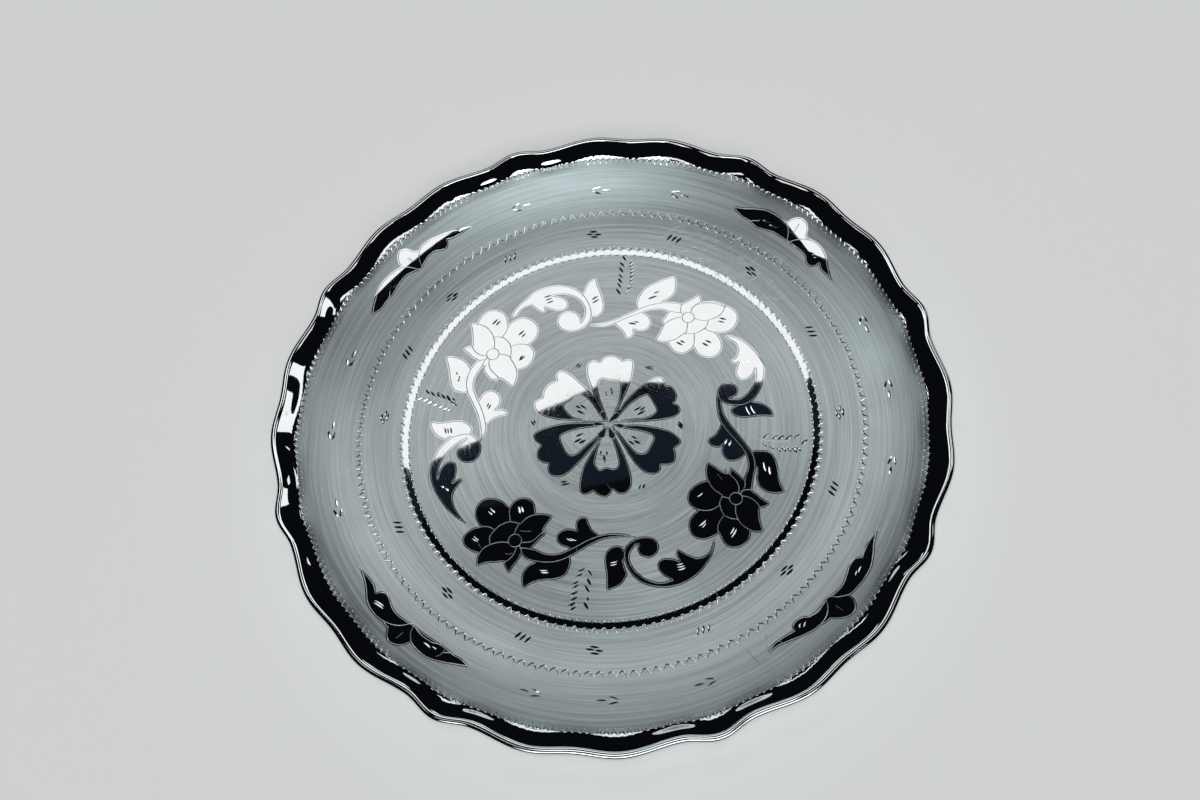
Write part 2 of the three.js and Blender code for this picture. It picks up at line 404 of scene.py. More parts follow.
print("lines round the front spray's scroll and stem:", len(SPRAY_FRONT) - 2)

# %% The flower and the small marks of the spray at the front
SPRAY_FRONT |= {
    "upper_sepal": [
        (45.2, 51), (45.5, 54.6), (47.5, 57.2), (49.5, 59.3), (51, 61.7), CORNER, (52.2, 59.5),
        (53.1, 56.2), CORNER, (50.5, 55), (48.4, 53), (47, 50.4), (45.2, 51),
    ],
    "lower_sepal": [
        (45, 50.5), (42, 51.7), (39.4, 51), (36.4, 48.5), (33.2, 46.3), CORNER, (34.5, 45.6), CORNER,
        (33, 44.2), CORNER, (35.8, 45.7), (40, 48.5), (44.4, 48.5), (45, 50.5),
    ],
    "petal_1": [
        (47, 50.4), (48.4, 53), (51.3, 55.4), (55.5, 55.9), (60, 55.4), (64.8, 56.2), CORNER, (64, 52),
        (61.4, 48.5), (57.7, 47), (53.5, 46.6), (50.1, 47.4), CORNER, (49.4, 49.6), (47, 50.4),
    ],
    "petal_2": [
        (50.1, 47.4), (53.5, 46.6), (58.4, 46.9), CORNER, (58, 43.6), (55.7, 40.9), (53, 39), (49, 38),
        (45.3, 39), (44.1, 39.8), CORNER, (45.8, 42.4), (46.8, 44.2), CORNER, (49.3, 45.1), (50.1, 47.4),
    ],
    "petal_3": [
        (44.4, 48.5), (41, 48.7), (36.4, 46.3), (33.1, 42.6), (29.6, 38.8), CORNER, (33, 37.2),
        (37, 36.6), (41, 37.4), (44.1, 39.8), CORNER, (45.8, 42.4), (46.8, 44.2), CORNER, (44.7, 45.6),
        (44.4, 48.5),
    ],
    "petal_4": [
        (36.8, 36.6), (37, 32), (38.7, 29.2), (42.5, 28), (46, 29.5), (48.3, 32.8), (48.5, 38.1), CORNER,
        (45.6, 38.9), (44.1, 39.8), CORNER, (41, 37.4), (36.8, 36.6),
    ],
    "petal_5": [
        (48.5, 31.2), (51, 28), (55, 26.1), (59, 26.1), (62.3, 28.9), (63.2, 33.5), (61.2, 38.4),
        (58.2, 39.3), (56.1, 40.6), CORNER, (53, 39), (48.5, 38.1), CORNER, (48.9, 35), (48.5, 31.2),
    ],
    "petal_6": [
        (58.4, 46.9), (58, 43.6), (55.9, 40.7), CORNER, (58.2, 39.2), (61.5, 38.5), (65.5, 39),
        (69, 41.6), (69.4, 45.3), (66.5, 48.8), (63.3, 50.5), CORNER, (61.4, 48.5), (58.4, 46.9),
    ],
    "second_cuts": [[(-4.2, 56.8), (-1.9, 59.4), (-0.3, 62.6), (-0.4, 66), (-2.2, 70)]],
    "stalk": [],
    "ear": [
        (17.5, 65.6, 16.3, 68.4), (18.5, 69, 17.3, 72.4), (19.8, 72, 18.3, 75.5), (19.7, 77, 19, 79),
        (21.2, 79.3, 19.7, 82.6), (18.7, 64.5, 22.7, 66.3), (20.3, 66.8, 23.2, 68.1),
        (22.3, 69.8, 25, 71.2), (22.5, 71.5, 25.5, 72.8), (23, 74.2, 27, 75.8), (23.7, 76.7, 27.3, 78.2),
        (24.7, 79, 28, 80.3), (24.7, 80.8, 27.7, 82.2),
    ],
    "dashes": [],
    "light_dashes": [
        (-23.2, 71.2, -20.2, 71.6), (-23, 70.2, -20, 70.4), (-22.6, 69.1, -20, 69.3), (5.2, 64.8, 8, 65),
        (5, 63.7, 7.7, 63.9), (34.4, 63.9, 37.4, 63.4), (34.8, 62.9, 37.8, 62.4),
        (20.9, 51.6, 23.4, 50.2), (22.5, 51.4, 24.8, 50), (42.2, 34.8, 42.9, 32), (43.6, 35, 44.2, 31.8),
        (54.6, 33, 56.2, 30.5), (55.9, 33.7, 57.2, 31.8), (62.9, 44.5, 64.6, 42.2),
        (63.3, 45, 65.3, 43.4),
    ],
}
print("the front spray is turned by", SPRAY_FRONT["turn"], "degrees")

# %% The spray that starts at the right
SPRAY_RIGHT = {
    "turn": 270.95,
    "heart": (46.6, 47.1, 2.8),
    "scroll": [
        (-33.2, 60.6), (-31.8, 64.3), (-28.5, 68.2), (-24, 71.3), (-18.5, 73.6), (-13, 74.6),
        (-8.8, 73.3), (-4.5, 71.4), (-0.5, 68.5), (2.4, 65), (3.6, 60.7), (3, 56.8), (1.2, 53.3),
        (-1.7, 51), (-5.4, 51), (-8.2, 53.2), (-8.8, 56.6), (-7, 59.5), (-4.2, 60.1), (-1.9, 58.7),
        (-0.9, 55.4), CORNER, (0.2, 59.8), (-1.2, 63.3), (-4.4, 66.9), (-8.5, 69.5), (-13.3, 70.4),
        CORNER, (-10.6, 68.6), (-8.8, 65.6), (-9.2, 62.4), (-12, 61.2), (-15.3, 62.2), (-18, 64), CORNER,
        (-17.8, 61.8), (-19.4, 60.1), CORNER, (-20.7, 63), (-24, 65), (-28, 64.5), (-31, 61.9),
        (-33.2, 60.6),
    ],
    "scroll_leaf": [
        (3.7, 55.7), (5.8, 54.7), (8, 56), (9.4, 58.5), (10.1, 62), (10.4, 66), (11.2, 69.5),
        (12.2, 72.6), CORNER, (9, 72.2), (6.3, 70.6), (4.2, 68.2), (2.9, 65), CORNER, (3.6, 61.5),
        (3.8, 58.5), (3.7, 55.7),
    ],
    "stem": [
        (-4, 50.2), (0, 51.4), (5, 51.2), (10, 52.4), (16, 54.9), (22, 57.3), (28, 59.4), (33.5, 59),
        (38.5, 57), (44.4, 54.6), CORNER, (43.9, 52.3), (44.2, 50), CORNER, (41.5, 52), (38, 52.9),
        (34.3, 55.3), (30, 56.3), (25, 55.5), (19, 52.8), (13, 50), (8, 48.8), (2.5, 49), (-4, 50.2),
    ],
    "stem_leaf": [
        (26.2, 59.6), (27, 63.3), (28.6, 66.7), (32.5, 68.1), (38.5, 68), (43, 67.3), (48.4, 68.2),
        CORNER, (48.1, 64.5), (46.6, 60.8), (43.5, 58.3), (39.7, 57.8), CORNER, (35, 59.3), (31, 59.8),
        (26.2, 59.6),
    ],
    "bud": [
        (27.5, 55.8), (28.9, 53), (29.2, 50), (28, 47.6), (24.8, 46.3), (22, 46.7), (20.2, 48), CORNER,
        (21.3, 45.5), (20.3, 43), (18, 41.4), CORNER, (16.3, 42.3), (15, 45.3), (13, 47.3), (10.2, 49),
        CORNER, (16, 51.3), (21.5, 54.2), (27.5, 55.8),
    ],
}
print("lines round the right spray's scroll and stem:", len(SPRAY_RIGHT) - 2)

# %% The flower and the small marks of the spray at the right
SPRAY_RIGHT |= {
    "upper_sepal": [
        (44.2, 50.1), (44.1, 53), (45.7, 55.7), (48.7, 57.7), (51.9, 60.8), CORNER, (53, 58.5),
        (53.1, 56), CORNER, (50, 54.7), (47.6, 52.6), (46.3, 50),
    ],
    "lower_sepal": [
        (44.2, 50.1), (42, 51.7), (39.4, 52.4), (36.6, 51.4), (31.9, 48.2), CORNER, (34.6, 47.2), CORNER,
        (32.3, 45.4), CORNER, (35.5, 47.1), (38.5, 48.8), (41.5, 49.3), (43.9, 48.7),
    ],
    "petal_1": [
        (46.3, 50), (47.6, 52.6), (50, 54.7), (53.5, 55.5), (58, 54.9), (64, 54.8), CORNER, (63.4, 51.8),
        (62, 49.2), (59.2, 46.7), (56.2, 45.5), (52.8, 45.2), (49.3, 46),
    ],
    "petal_2": [
        (49.3, 46), (52.8, 45.2), (56.2, 45.5), CORNER, (55.4, 43), (53.4, 40.4), (50.8, 39.5),
        (48.4, 39.4), (46, 39.9), (44, 41.5), CORNER, (45.4, 44.3),
    ],
    "petal_3": [
        (43.9, 48.7), (41.5, 49.3), (38.5, 48.8), (35.5, 47.1), (32.3, 43.6), (27.2, 39.3), CORNER,
        (29.5, 37.8), (33, 37), (36.5, 37.2), (40.5, 38.6), (44, 41.5), CORNER, (45.4, 44.3),
    ],
    "petal_4": [
        (35.5, 36.9), (35.8, 34), (36.8, 31), (38.5, 28.6), (41, 27.1), (43.7, 26.8), (46.3, 28),
        (48.1, 29.9), (49.4, 33), (49.6, 36.3), (48.4, 39.4), CORNER, (46, 39.9), (44, 41.5), CORNER,
        (40.5, 38.6), (35.5, 36.9),
    ],
    "petal_5": [
        (48.3, 29.9), (49.6, 27.9), (51.5, 25.9), (54.2, 24.6), (57.2, 24.6), (60, 26), (61.6, 28.6),
        (61.8, 31.6), (60.4, 36.2), (58, 36.7), (55.5, 38.2), (53.4, 40.4), CORNER, (50.8, 39.5),
        (48.4, 39.4), CORNER, (49.6, 36.3), (49.4, 33), (48.3, 29.9),
    ],
    "petal_6": [
        (56.2, 45.5), (55.4, 43), (53.4, 40.4), CORNER, (55.5, 38.2), (58.5, 36.6), (62, 36.7),
        (65.5, 37.6), (67.8, 39.9), (68.4, 43), (67.5, 46), (65.5, 48.5), (62.4, 49.8), CORNER,
        (62, 49.2), (59.2, 46.7), (56.2, 45.5),
    ],
    "second_cuts": [
        [(-20, 72.8), (-16.5, 74.2), (-13, 74.9)],
        [(12.1, 71.5), (11.5, 68.5), (10.9, 65)],
        [(28, 66), (29.3, 67), (31, 67.8)],
        [(37, 68.3), (42, 67.6), (47.8, 68.3)],
        [(28.5, 40.5), (31, 43.6), (33.5, 46), (35, 47.3)],
    ],
    "stalk": [(15, 55), (19, 60), (22, 65), (24, 70), (25.3, 76)],
    "ear": [
        (21.3, 65.3, 20, 68.6), (22.7, 69.1, 21.4, 72), (23.6, 71.5, 22.2, 74.6), (24.3, 74.7, 22.9, 78),
        (24.6, 78.5, 23.1, 81.3), (27.9, 80.8, 26.5, 84), (23.2, 64.5, 25.6, 65.8),
        (25.2, 67.3, 27.8, 68.7), (26.9, 69.8, 29.6, 71.2), (27.2, 72, 30, 73.5),
        (27.9, 74.3, 30.5, 75.7), (28.2, 76.5, 31.5, 78), (28.2, 78.2, 31.2, 79.8),
    ],
    "dashes": [],
    "light_dashes": [
        (-18.2, 68.6, -16.2, 67.8), (-18.2, 66.6, -16.6, 66), (-18.7, 65.4, -17.1, 64.7),
        (4.9, 63.9, 9, 64.8), (4.7, 61.7, 8.9, 62.5), (35, 64.8, 38.8, 64.1), (32.8, 62.8, 36.8, 62.6),
        (19.4, 51.3, 21.6, 50), (18.2, 49.7, 20.4, 48.5), (40.8, 33.7, 42, 31.2), (53.4, 32.2, 55.3, 29),
        (54.7, 32, 56.4, 30), (60.2, 44, 63.3, 41.2), (59.2, 43.2, 61.8, 41),
    ],
}
print("the right spray is turned by", SPRAY_RIGHT["turn"], "degrees")

# %% The winged bud at the back left
BUD_BACK_LEFT = {
    "turn": 37.7,
    "left": [
        (-31, 122), (-27, 125), (-21, 128.4), (-15, 130.2), (-8, 130.3), (-3.8, 129.6), CORNER,
        (-0.8, 126.8), (1.8, 122.8), CORNER, (-1.5, 124), (-6, 125.1), (-11, 124.3), (-16, 122.8),
        (-21, 122.2), CORNER, (-26, 121.2), (-31, 122),
    ],
    "right": [
        (2.5, 122.8), (5, 127.3), (8.7, 129.9), (14, 130.1), (20, 128.3), (26, 125.7), (30, 123.3),
        (34.3, 120.7), CORNER, (29, 121.4), (24, 122.8), (21.4, 124.3), CORNER, (20, 122.3),
        (17.5, 121.6), (15.3, 122.7), (13, 124.2), (9.5, 124.6), (5.5, 123.8), (2.5, 122.8),
    ],
    "bud": [
        (2.1, 122.8), (-0.8, 126.8), (-3.8, 129.6), CORNER, (-3.5, 131.6), (-1.8, 133.9), (0.8, 135.3),
        (3.6, 134.3), (5.3, 132.2), (5.9, 130.5), (8.7, 129.9), CORNER, (5, 127.3), (2.1, 122.8),
    ],
    "veins": [
        [(-21, 122.2), (-18.5, 123.3), (-16.5, 124.8)],
        [(1.2, 130.4), (1.2, 128.2)],
        [(2, 130.2), (2.1, 127.9)],
    ],
    "dashes": [
        (-16, 125.4, -13.4, 126.2), (-14.2, 124.5, -11, 125.4), (14.2, 126.1, 17.5, 126.4),
        (16, 125.5, 19.3, 125.9),
    ],
}
print("the back left bud is turned by", BUD_BACK_LEFT["turn"], "degrees")

# %% The winged bud at the front left
BUD_FRONT_LEFT = {
    "turn": 126.7,
    "left": [
        (-34, 118.4), (-29, 121.8), (-24, 125.2), (-18.5, 127.9), (-12.5, 128.5), (-8.6, 128), CORNER,
        (-5.4, 125.6), (-3.2, 121.9), CORNER, (-7, 121.6), (-12, 120.9), (-17.5, 119.9), (-21.5, 119.3),
        (-25, 119.2), CORNER, (-29, 118.2), (-34, 118.4),
    ],
    "right": [
        (-2.7, 121.9), (0, 126.3), (4, 129), (9, 130.2), (14, 129.9), (18.5, 128.2), (23, 125),
        (27.5, 122.4), (32.2, 120.4), CORNER, (27, 120.6), (22, 121.3), (18.5, 123.3), CORNER,
        (17.5, 121.3), (15, 120.2), (12, 121.2), (8.5, 122.8), (4.5, 123.3), (0.5, 122.8), (-2.7, 121.9),
    ],
    "bud": [
        (-3, 121.9), (-5.4, 125.6), (-8.6, 128), CORNER, (-7.7, 130.8), (-5.5, 133.1), (-2.2, 134),
        (0.8, 132.6), (3, 130.2), CORNER, (9, 130.2), (4, 129), (0, 126.3), (-3, 121.9),
    ],
    "veins": [
        [(-25, 119.2), (-23.3, 119.8), (-21.6, 121.6)],
        [(-18, 120), (-14.5, 121.8), (-10, 122.6), (-6.5, 122.5), (-3.8, 121.9)],
        [(-3.3, 130.6), (-3.2, 127.2)],
    ],
    "dashes": [
        (-18.3, 122.6, -16.3, 123), (-16, 124, -12.6, 124.2), (11, 126, 15.3, 126.8),
        (11.6, 125, 15.9, 125.9),
    ],
}
print("the front left bud is turned by", BUD_FRONT_LEFT["turn"], "degrees")

# %% The winged bud at the front right
BUD_FRONT_RIGHT = {
    "turn": 217.5,
    "left": [
        (-36.3, 120.5), (-31, 122.8), (-26, 126), (-20.5, 128.8), (-14, 130), (-8, 129.9), (-5.4, 129.5),
        CORNER, (-1.8, 126.4), (0.2, 122.9), CORNER, (-3, 124), (-7.5, 124.1), (-12, 122.7), (-16, 121.1),
        (-20, 120.8), (-22.2, 122.8), CORNER, (-26, 121.5), (-31, 120.4), (-36.3, 120.5),
    ],
    "right": [
        (0.9, 122.7), (3.3, 125.7), (7, 128), (11.5, 128.5), (16, 127.6), (21, 125.4), (26, 122.7),
        (30.5, 120.7), (35.6, 119.9), CORNER, (30, 118.8), (25, 120), (20.2, 121.6), CORNER,
        (19.3, 119.8), (16.5, 119.3), (13.5, 120.4), (11.5, 122.4), (8, 123.2), (4.5, 123.2),
        (0.9, 122.7),
    ],
    "bud": [
        (0.5, 122.8), (-1.8, 126.4), (-5.4, 129.5), CORNER, (-4.9, 132), (-2.8, 134.6), (0, 135.6),
        (3.2, 134.8), (5.8, 132.2), (7.4, 129.9), CORNER, (12.5, 128.9), CORNER, (7, 128), (3.3, 125.7),
        (0.5, 122.8),
    ],
    "veins": [
        [(-26, 121.6), (-24.2, 122), (-22.2, 123.2)],
        [(3, 123.2), (7, 124), (10, 123.4), (11.5, 122.4)],
        [(1.6, 131), (1.6, 128)],
    ],
    "dashes": [
        (-18.4, 125.3, -15.6, 126.2), (-16, 125.2, -13.8, 126), (14.4, 122.8, 16.9, 123.6),
        (16.4, 121.7, 18.3, 122.5),
    ],
}
print("the front right bud is turned by", BUD_FRONT_RIGHT["turn"], "degrees")

# %% The winged bud at the back right
BUD_BACK_RIGHT = {
    "turn": 307,
    "left": [
        (-31.8, 122.2), (-27, 124.5), (-22, 127.6), (-17, 129.9), (-11, 130.6), (-5.6, 130.3), CORNER,
        (-3, 128.8), (-1, 126.4), (0.5, 123.7), CORNER, (-4, 123.5), (-8.5, 123.2), (-12.5, 121.8),
        (-16.5, 120.7), (-20.5, 121.2), CORNER, (-24.5, 120.8), (-28.5, 121.2), (-31.8, 122.2),
    ],
    "right": [
        (0.9, 123.7), (2.8, 126.4), (6, 128.9), (10, 130.2), (15, 129.9), (19.5, 127.9), (23, 125.2),
        (27, 122), (31, 119.3), CORNER, (26, 120.8), (22, 121.6), (19.4, 123.6), CORNER, (18.7, 121.4),
        (16.5, 120.1), (13.8, 120.7), (11.8, 122.6), (8, 123.5), (4.5, 123.6), (0.9, 123.7),
    ],
    "bud": [
        (0.7, 123.8), (-1, 126.4), (-3, 128.8), (-5.6, 130.3), CORNER, (-4.9, 132.2), (-3, 134.5),
        (-0.3, 135.5), (2.5, 134.9), (4.8, 132.9), (6, 130.4), (8.8, 129.9), CORNER, (6, 128.9),
        (2.8, 126.4), (0.7, 123.8),
    ],
    "veins": [
        [(-21, 121.3), (-19, 122.6), (-17, 124)],
        [(-9, 122.8), (-5, 122.9), (-3, 123.2)],
        [(3, 123.9), (8, 122.9), (10, 123.2)],
        [(-0.3, 132.8), (0.1, 128.6)],
    ],
    "dashes": [
        (-15.7, 124.9, -12.3, 126), (-11.7, 124.9, -8.3, 126), (11.8, 125, 15, 125.6),
        (13.8, 124.2, 16.5, 124.8),
    ],
}
print("the back right bud is turned by", BUD_BACK_RIGHT["turn"], "degrees")

# %% The rosette's six petals
ROSE_PETALS = [
    [
        (0.5, 2), (-0.3, 2.5), (-2, 9.5), (-3.6, 16), (-4.7, 23.5), (-5, 28), (-3.9, 32.9), (-0.9, 34.2),
        (1.8, 32.7), CORNER, (4, 34.5), (7, 34.9), (10.3, 33.4), (12.2, 30.9), CORNER, (14.5, 31.3),
        (16.6, 30), (16.2, 26.5), (13.7, 19.8), (9.5, 13), (5, 6.4), (0.5, 2),
    ],
    [
        (1.8, 1.6), (5.5, 6), (10.5, 11.2), (15.5, 15), (20.5, 17.8), (25.5, 19.4), (28.6, 18.1),
        (28.9, 14.3), CORNER, (31.2, 13.4), (32.7, 10), (32.4, 6.8), (30.6, 5), CORNER, (32.5, 3.3),
        (32.7, 0.4), (30, -1.7), (25, -2.1), (17.5, -1.4), (8, 0.2), (1.8, 1.6),
    ],
    [
        (1.6, -0.6), (6.5, -1.2), (13.5, -2.5), (20.5, -5.2), (26, -8.2), (29.2, -12), (30, -14.8),
        (26.6, -17), CORNER, (26.6, -20.5), (25.3, -23.3), (22.5, -24.2), (19.2, -23.5), CORNER,
        (18.7, -25.7), (16.3, -27.3), (12.5, -26.1), (9.5, -22.5), (6.9, -17), (4.4, -9.2), (1.6, -0.6),
    ],
    [
        (-0.3, -0.6), (-5.3, -6.6), (-10.5, -12.5), (-14.5, -18), (-17, -24.5), (-17.5, -28.8),
        (-15.5, -30.6), (-11.8, -29.6), CORNER, (-10, -31.9), (-7.2, -33.6), (-4.9, -32.3), (-3.4, -30.5),
        CORNER, (-1.4, -32.9), (1.2, -33.6), (4, -31.7), (5.5, -28), (5.2, -21), (3.8, -13), (1.3, -4),
        (-0.3, -0.6),
    ],
    [
        (-1.6, 0.9), (-7, 3), (-15, 4.8), (-22, 5.4), (-29, 4.7), (-33.4, 2.9), (-33.3, -0.1),
        (-31.1, -3), CORNER, (-33.2, -5.8), (-33.4, -9.2), (-31.6, -11.5), (-29.2, -12.6), CORNER,
        (-29.9, -15.5), (-28.9, -18.4), (-25.5, -19.8), (-21.5, -18.9), (-15.5, -14.5), (-9.5, -9.5),
        (-4, -4), (-1.6, 0.9),
    ],
    [
        (-1.4, 2.4), (-8, 4), (-14.5, 5.9), (-23, 8.5), (-29, 12.2), (-31.2, 15.9), (-30.3, 19),
        (-26.8, 20.2), CORNER, (-25.7, 23.7), (-23, 26.4), (-19.1, 27.4), CORNER, (-19, 30.4),
        (-16.8, 32.2), (-13, 29.8), (-9.5, 25), (-5.6, 19.2), (-3.1, 12.3), (-1.4, 2.4),
    ],
]
print("petals in the rosette:", len(ROSE_PETALS))

# %% The satin tongue inside each petal
TONGUES = [
    [
        (0.5, 2), (-0.5, 7.5), (-1.5, 15), (-1.4, 21), (1, 24.2), (3.8, 23), (6.8, 21.9), (8.8, 20.3),
        (8.3, 16), (5.6, 8.8), (0.5, 2),
    ],
    [
        (1.8, 1.6), (5.5, 3.9), (10.5, 8), (16, 10.8), (20, 11.8), CORNER, (21.2, 9.2), (22.5, 4.2),
        (21.7, 1.9), (17, 0.5), (10.5, 1.1), (1.8, 1.6),
    ],
    [
        (1.6, -0.6), (7, -2.8), (13.5, -5.5), (18, -8.2), (18.7, -10.2), (17, -13.2), (14, -16.4),
        (10.2, -15.8), (7, -11), (4.2, -5), (1.6, -0.6),
    ],
    [
        (-0.3, -0.6), (-3.2, -4), (-7, -11), (-9.1, -17), (-7.6, -20.3), (-4.6, -19.8), (-1, -21.2),
        (1.2, -19.4), (1.4, -13.5), (0.5, -5.5), (-0.3, -0.6),
    ],
    [
        (-1.6, 0.9), (-7, 0.9), (-13.5, 1.4), (-20, 0.4), (-22.2, -1.2), (-21.2, -7), (-19.6, -10.2),
        (-16.5, -10.6), (-10.5, -6.9), (-4.5, -3), (-1.6, 0.9),
    ],
    [
        (-1.4, 2.4), (-8, 4.5), (-14.5, 7.3), (-17.5, 11.2), (-18, 14.4), (-14.5, 16.5), (-11.6, 18.1),
        (-8.5, 17.4), (-5.5, 13.2), (-3.3, 7.5), (-1.4, 2.4),
    ],
]
SPRAYS = [SPRAY_BACK, SPRAY_LEFT, SPRAY_FRONT, SPRAY_RIGHT]
WINGED_BUDS = [BUD_BACK_LEFT, BUD_FRONT_LEFT, BUD_FRONT_RIGHT, BUD_BACK_RIGHT]
print("motifs:", len(SPRAYS) + len(WINGED_BUDS) + 1, "tongues:", len(TONGUES))

# %% [markdown]
# The smaller marks are single pushes of the graver, so two ends in millimetres are enough for each.
# The seeds round the rosette's centre are polished drops, each given by its two ends and its width.
# The marks on the flange stand in groups of one shape, so only the groups' angles are listed.

# %% Marks round the rosette
SEEDS = [
    ((0.5, 1.5), (5.4, 5.25), 1.8), ((2, 0.25), (6.65, -1.75), 1.3), ((0, -1), (1, -6.4), 1.8),
    ((-1, -0.25), (-4.75, -5), 2.1), ((-1.25, 1), (-6.25, 2.5), 1.2), ((-0.5, 2.5), (-1.6, 7.5), 1.5),
]
ROSE_DASHES = [
    (1.75, 17.2, 1.75, 15), (4.3, 18.5, 4.5, 15), (12.5, 5, 16, 6.2), (15, 4.5, 17.9, 5.7),
    (13.7, 2.6, 17.5, 4), (9.2, -7.2, 11.4, -9), (7.5, -9.2, 9.9, -11.7), (10, -9.5, 12.5, -11.9),
    (-5.2, -11.2, -5.9, -13.1), (-2.8, -12.2, -3.2, -14), (-4.4, -13.7, -4.7, -17.5),
    (-15.2, -2.2, -11.5, -1.2), (-16.4, -4.8, -12.7, -3.7), (-14.5, -5.8, -10.9, -4.7),
    (-12.7, 13, -10.5, 11), (-10.6, 13.1, -8.1, 10.2), (-12.5, 10.6, -9.6, 8),
    (-9.6, 32.4, -7.6, 34.2), (-8.7, 31.8, -6.8, 33.4), (21.5, 25.4, 25, 25), (22, 24.7, 25, 23.7),
    (31, -4.5, 32.5, -7.5), (30.4, -5.5, 32, -8.5), (7.7, -33, 9, -30.7), (9.5, -33, 10.7, -31),
    (-25.4, -22.5, -22.5, -22.7), (-25.4, -23.9, -21.5, -24), (-33.7, 9.7, -32.6, 7.2),
    (-32.6, 10.5, -32, 8),
]
print("seeds:", len(SEEDS), "marks round them:", len(ROSE_DASHES))

# %% Marks on the flange
DIAMOND_RADIUS = 102.5
ARROW_RADIUS = 124.5
DIAMOND_ANGLES = [84, 126.7, 165.7, 218.1, 256.9, 307, 351.3, 39.2]
SLASH_ANGLES = [107.5, 146.3, 196.5, 239.7, 282.5, 330.8, 15.3, 62.1]
ARROW_ANGLES = [99.7, 81.3, 63.6, 152.9, 170, 187.7, 245.4, 260.1, 278.4, 337.9, 354.9, 10.6]
DIAMOND = [(-3.5, 0.3, -0.3, 0), (0.3, -0.2, 3.7, -0.5), (-1.9, 1.5, 1.8, 1.2), (-1.6, -1.3, 2.1, -1.6)]
SLASHES = [(-3.2, -1.4, -1.5, 1.9), (-0.9, -1.7, 0.9, 1.7), (1.4, -1.9, 3.2, 1.4)]
ARROW = [(-4.5, 0.5, -0.5, 1.5), (-4.5, -0.5, -0.5, -1.8), (0.5, -0.2, 4.4, -0.4)]
FLANGE_GROUPS = [
    (DIAMOND, DIAMOND_ANGLES, DIAMOND_RADIUS),
    (SLASHES, SLASH_ANGLES, DIAMOND_RADIUS),
    (ARROW, ARROW_ANGLES, ARROW_RADIUS),
]
print("marks on the flange:", sum(len(marks) * len(angles) for marks, angles, _ in FLANGE_GROUPS))

# %% [markdown]
# ## From points to lines
# A graver moves in long sweeps. Curve objects would have to be turned to points again before anything can
# be cut with them, so a smooth curve is worked out here, between one corner and the next.

# %% Sweeps
SAMPLE_STEP = 0.9


def sweep_through(points):
    points = np.array(points, float)
    before = 2 * points[0] - points[1]
    after = 2 * points[-1] - points[-2]
    padded = np.vstack([before, points, after])
    line = []
    for a, b, c, d in zip(padded, padded[1:], padded[2:], padded[3:]):
        count = max(1, round(math.dist(b, c) / SAMPLE_STEP))
        for t in np.arange(count) / count:
            cubic = -a + 3 * b - 3 * c + d
            line.append(0.5 * (2 * b + (c - a) * t + (2 * a - 5 * b + 4 * c - d) * t**2 + cubic * t**3))
    line.append(points[-1])
    return np.array(line)


def sweeps_of(outline):
    sweeps = [[]]
    for point in outline:
        if point is CORNER:
            sweeps.append([sweeps[-1][-1]])
        else:
            sweeps[-1].append(point)
    return [sweep_through(sweep) for sweep in sweeps if len(sweep) > 1]


def turned(points, degrees):
    x, y = np.moveaxis(np.asarray(points, float), -1, 0)
    c = math.cos(math.radians(degrees))
    s = math.sin(math.radians(degrees))
    return np.stack([x * c - y * s, x * s + y * c], -1)


print("samples on the first scroll:", sum(len(sweep) for sweep in sweeps_of(SPRAY_BACK["scroll"])))

# %% [markdown]
# ## A cut
# A graver is a steel bar ground to a V. It ploughs a groove that starts and ends in a point, is a little
# wider where the hand pressed harder, and has two sloping walls that meet at the bottom.
# A bump map could draw such a line, but the mesh would stay smooth. So each cut is kept as its walls:
# triangles in the plan of the plate, with a depth at each corner. Later they become faces of the sheet.

# %% The metals, and the walls of the cuts
METAL_NAMES = ("satin_ground", "burnished", "graved_line", "bright_cut", "old_scratch", "wriggle_cut")
SATIN, BURNISHED, GRAVED, BRIGHT, SCRATCH, WRIGGLE = range(len(METAL_NAMES))
metals = [bpy.data.materials.new(name) for name in METAL_NAMES]
LEAST_STEP = 1e-9
walls = []
wall_kinds = []
wall_sides = []


def add_walls(triangles, kind, in_one_cut):
    side = np.arange(len(triangles)) // (in_one_cut // 2)
    side_count = int(wall_sides[-1][-1]) + 1 if wall_sides else 0
    walls.append(triangles)
    wall_kinds.append(np.full(len(triangles), kind))
    wall_sides.append(side + side_count)


def along(path):
    return unit(np.gradient(path, axis=0), LEAST_STEP)


def left_of(direction):
    return np.stack([-direction[:, 1], direction[:, 0]], 1)


def groove(path, across, depths):
    flat = np.zeros((len(path), 1))
    middle = np.hstack([path, depths[:, None]])
    sides = []
    for edge in (np.hstack([path + across, flat]), np.hstack([path - across, flat])):
        sides.append(np.stack([edge[:-1], middle[:-1], middle[1:]], 1))
        sides.append(np.stack([edge[:-1], middle[1:], edge[1:]], 1))
    return np.concatenate(sides)


print("metals:", len(metals))

# %% One line of the graver
LINE_WIDTH = 0.36
LINE_DEPTH = 0.07
OVERSHOOT = 0.35
PRESSURE_SPREAD = 0.15


def cut(path, width=LINE_WIDTH, depth=LINE_DEPTH, kind=GRAVED, closed=False):
    path = np.asarray(path, float)
    if closed:
        direction = along(np.vstack([path[-2], path, path[1]]))[1:-1]
        press = np.ones(len(path))
    else:
        direction = along(path)
        path = np.vstack([path[0] - direction[0] * OVERSHOOT, path, path[-1] + direction[-1] * OVERSHOOT])
        direction = along(path)
        press = rng.uniform(1 - PRESSURE_SPREAD, 1 + PRESSURE_SPREAD, len(path))
        press[[0, -1]] = 0
    sides = groove(path, left_of(direction) * press[:, None] * width / 2, press * depth)
    add_walls(sides, kind, len(sides))


print("a graver line in mm:", LINE_WIDTH, "wide and", LINE_DEPTH, "deep")

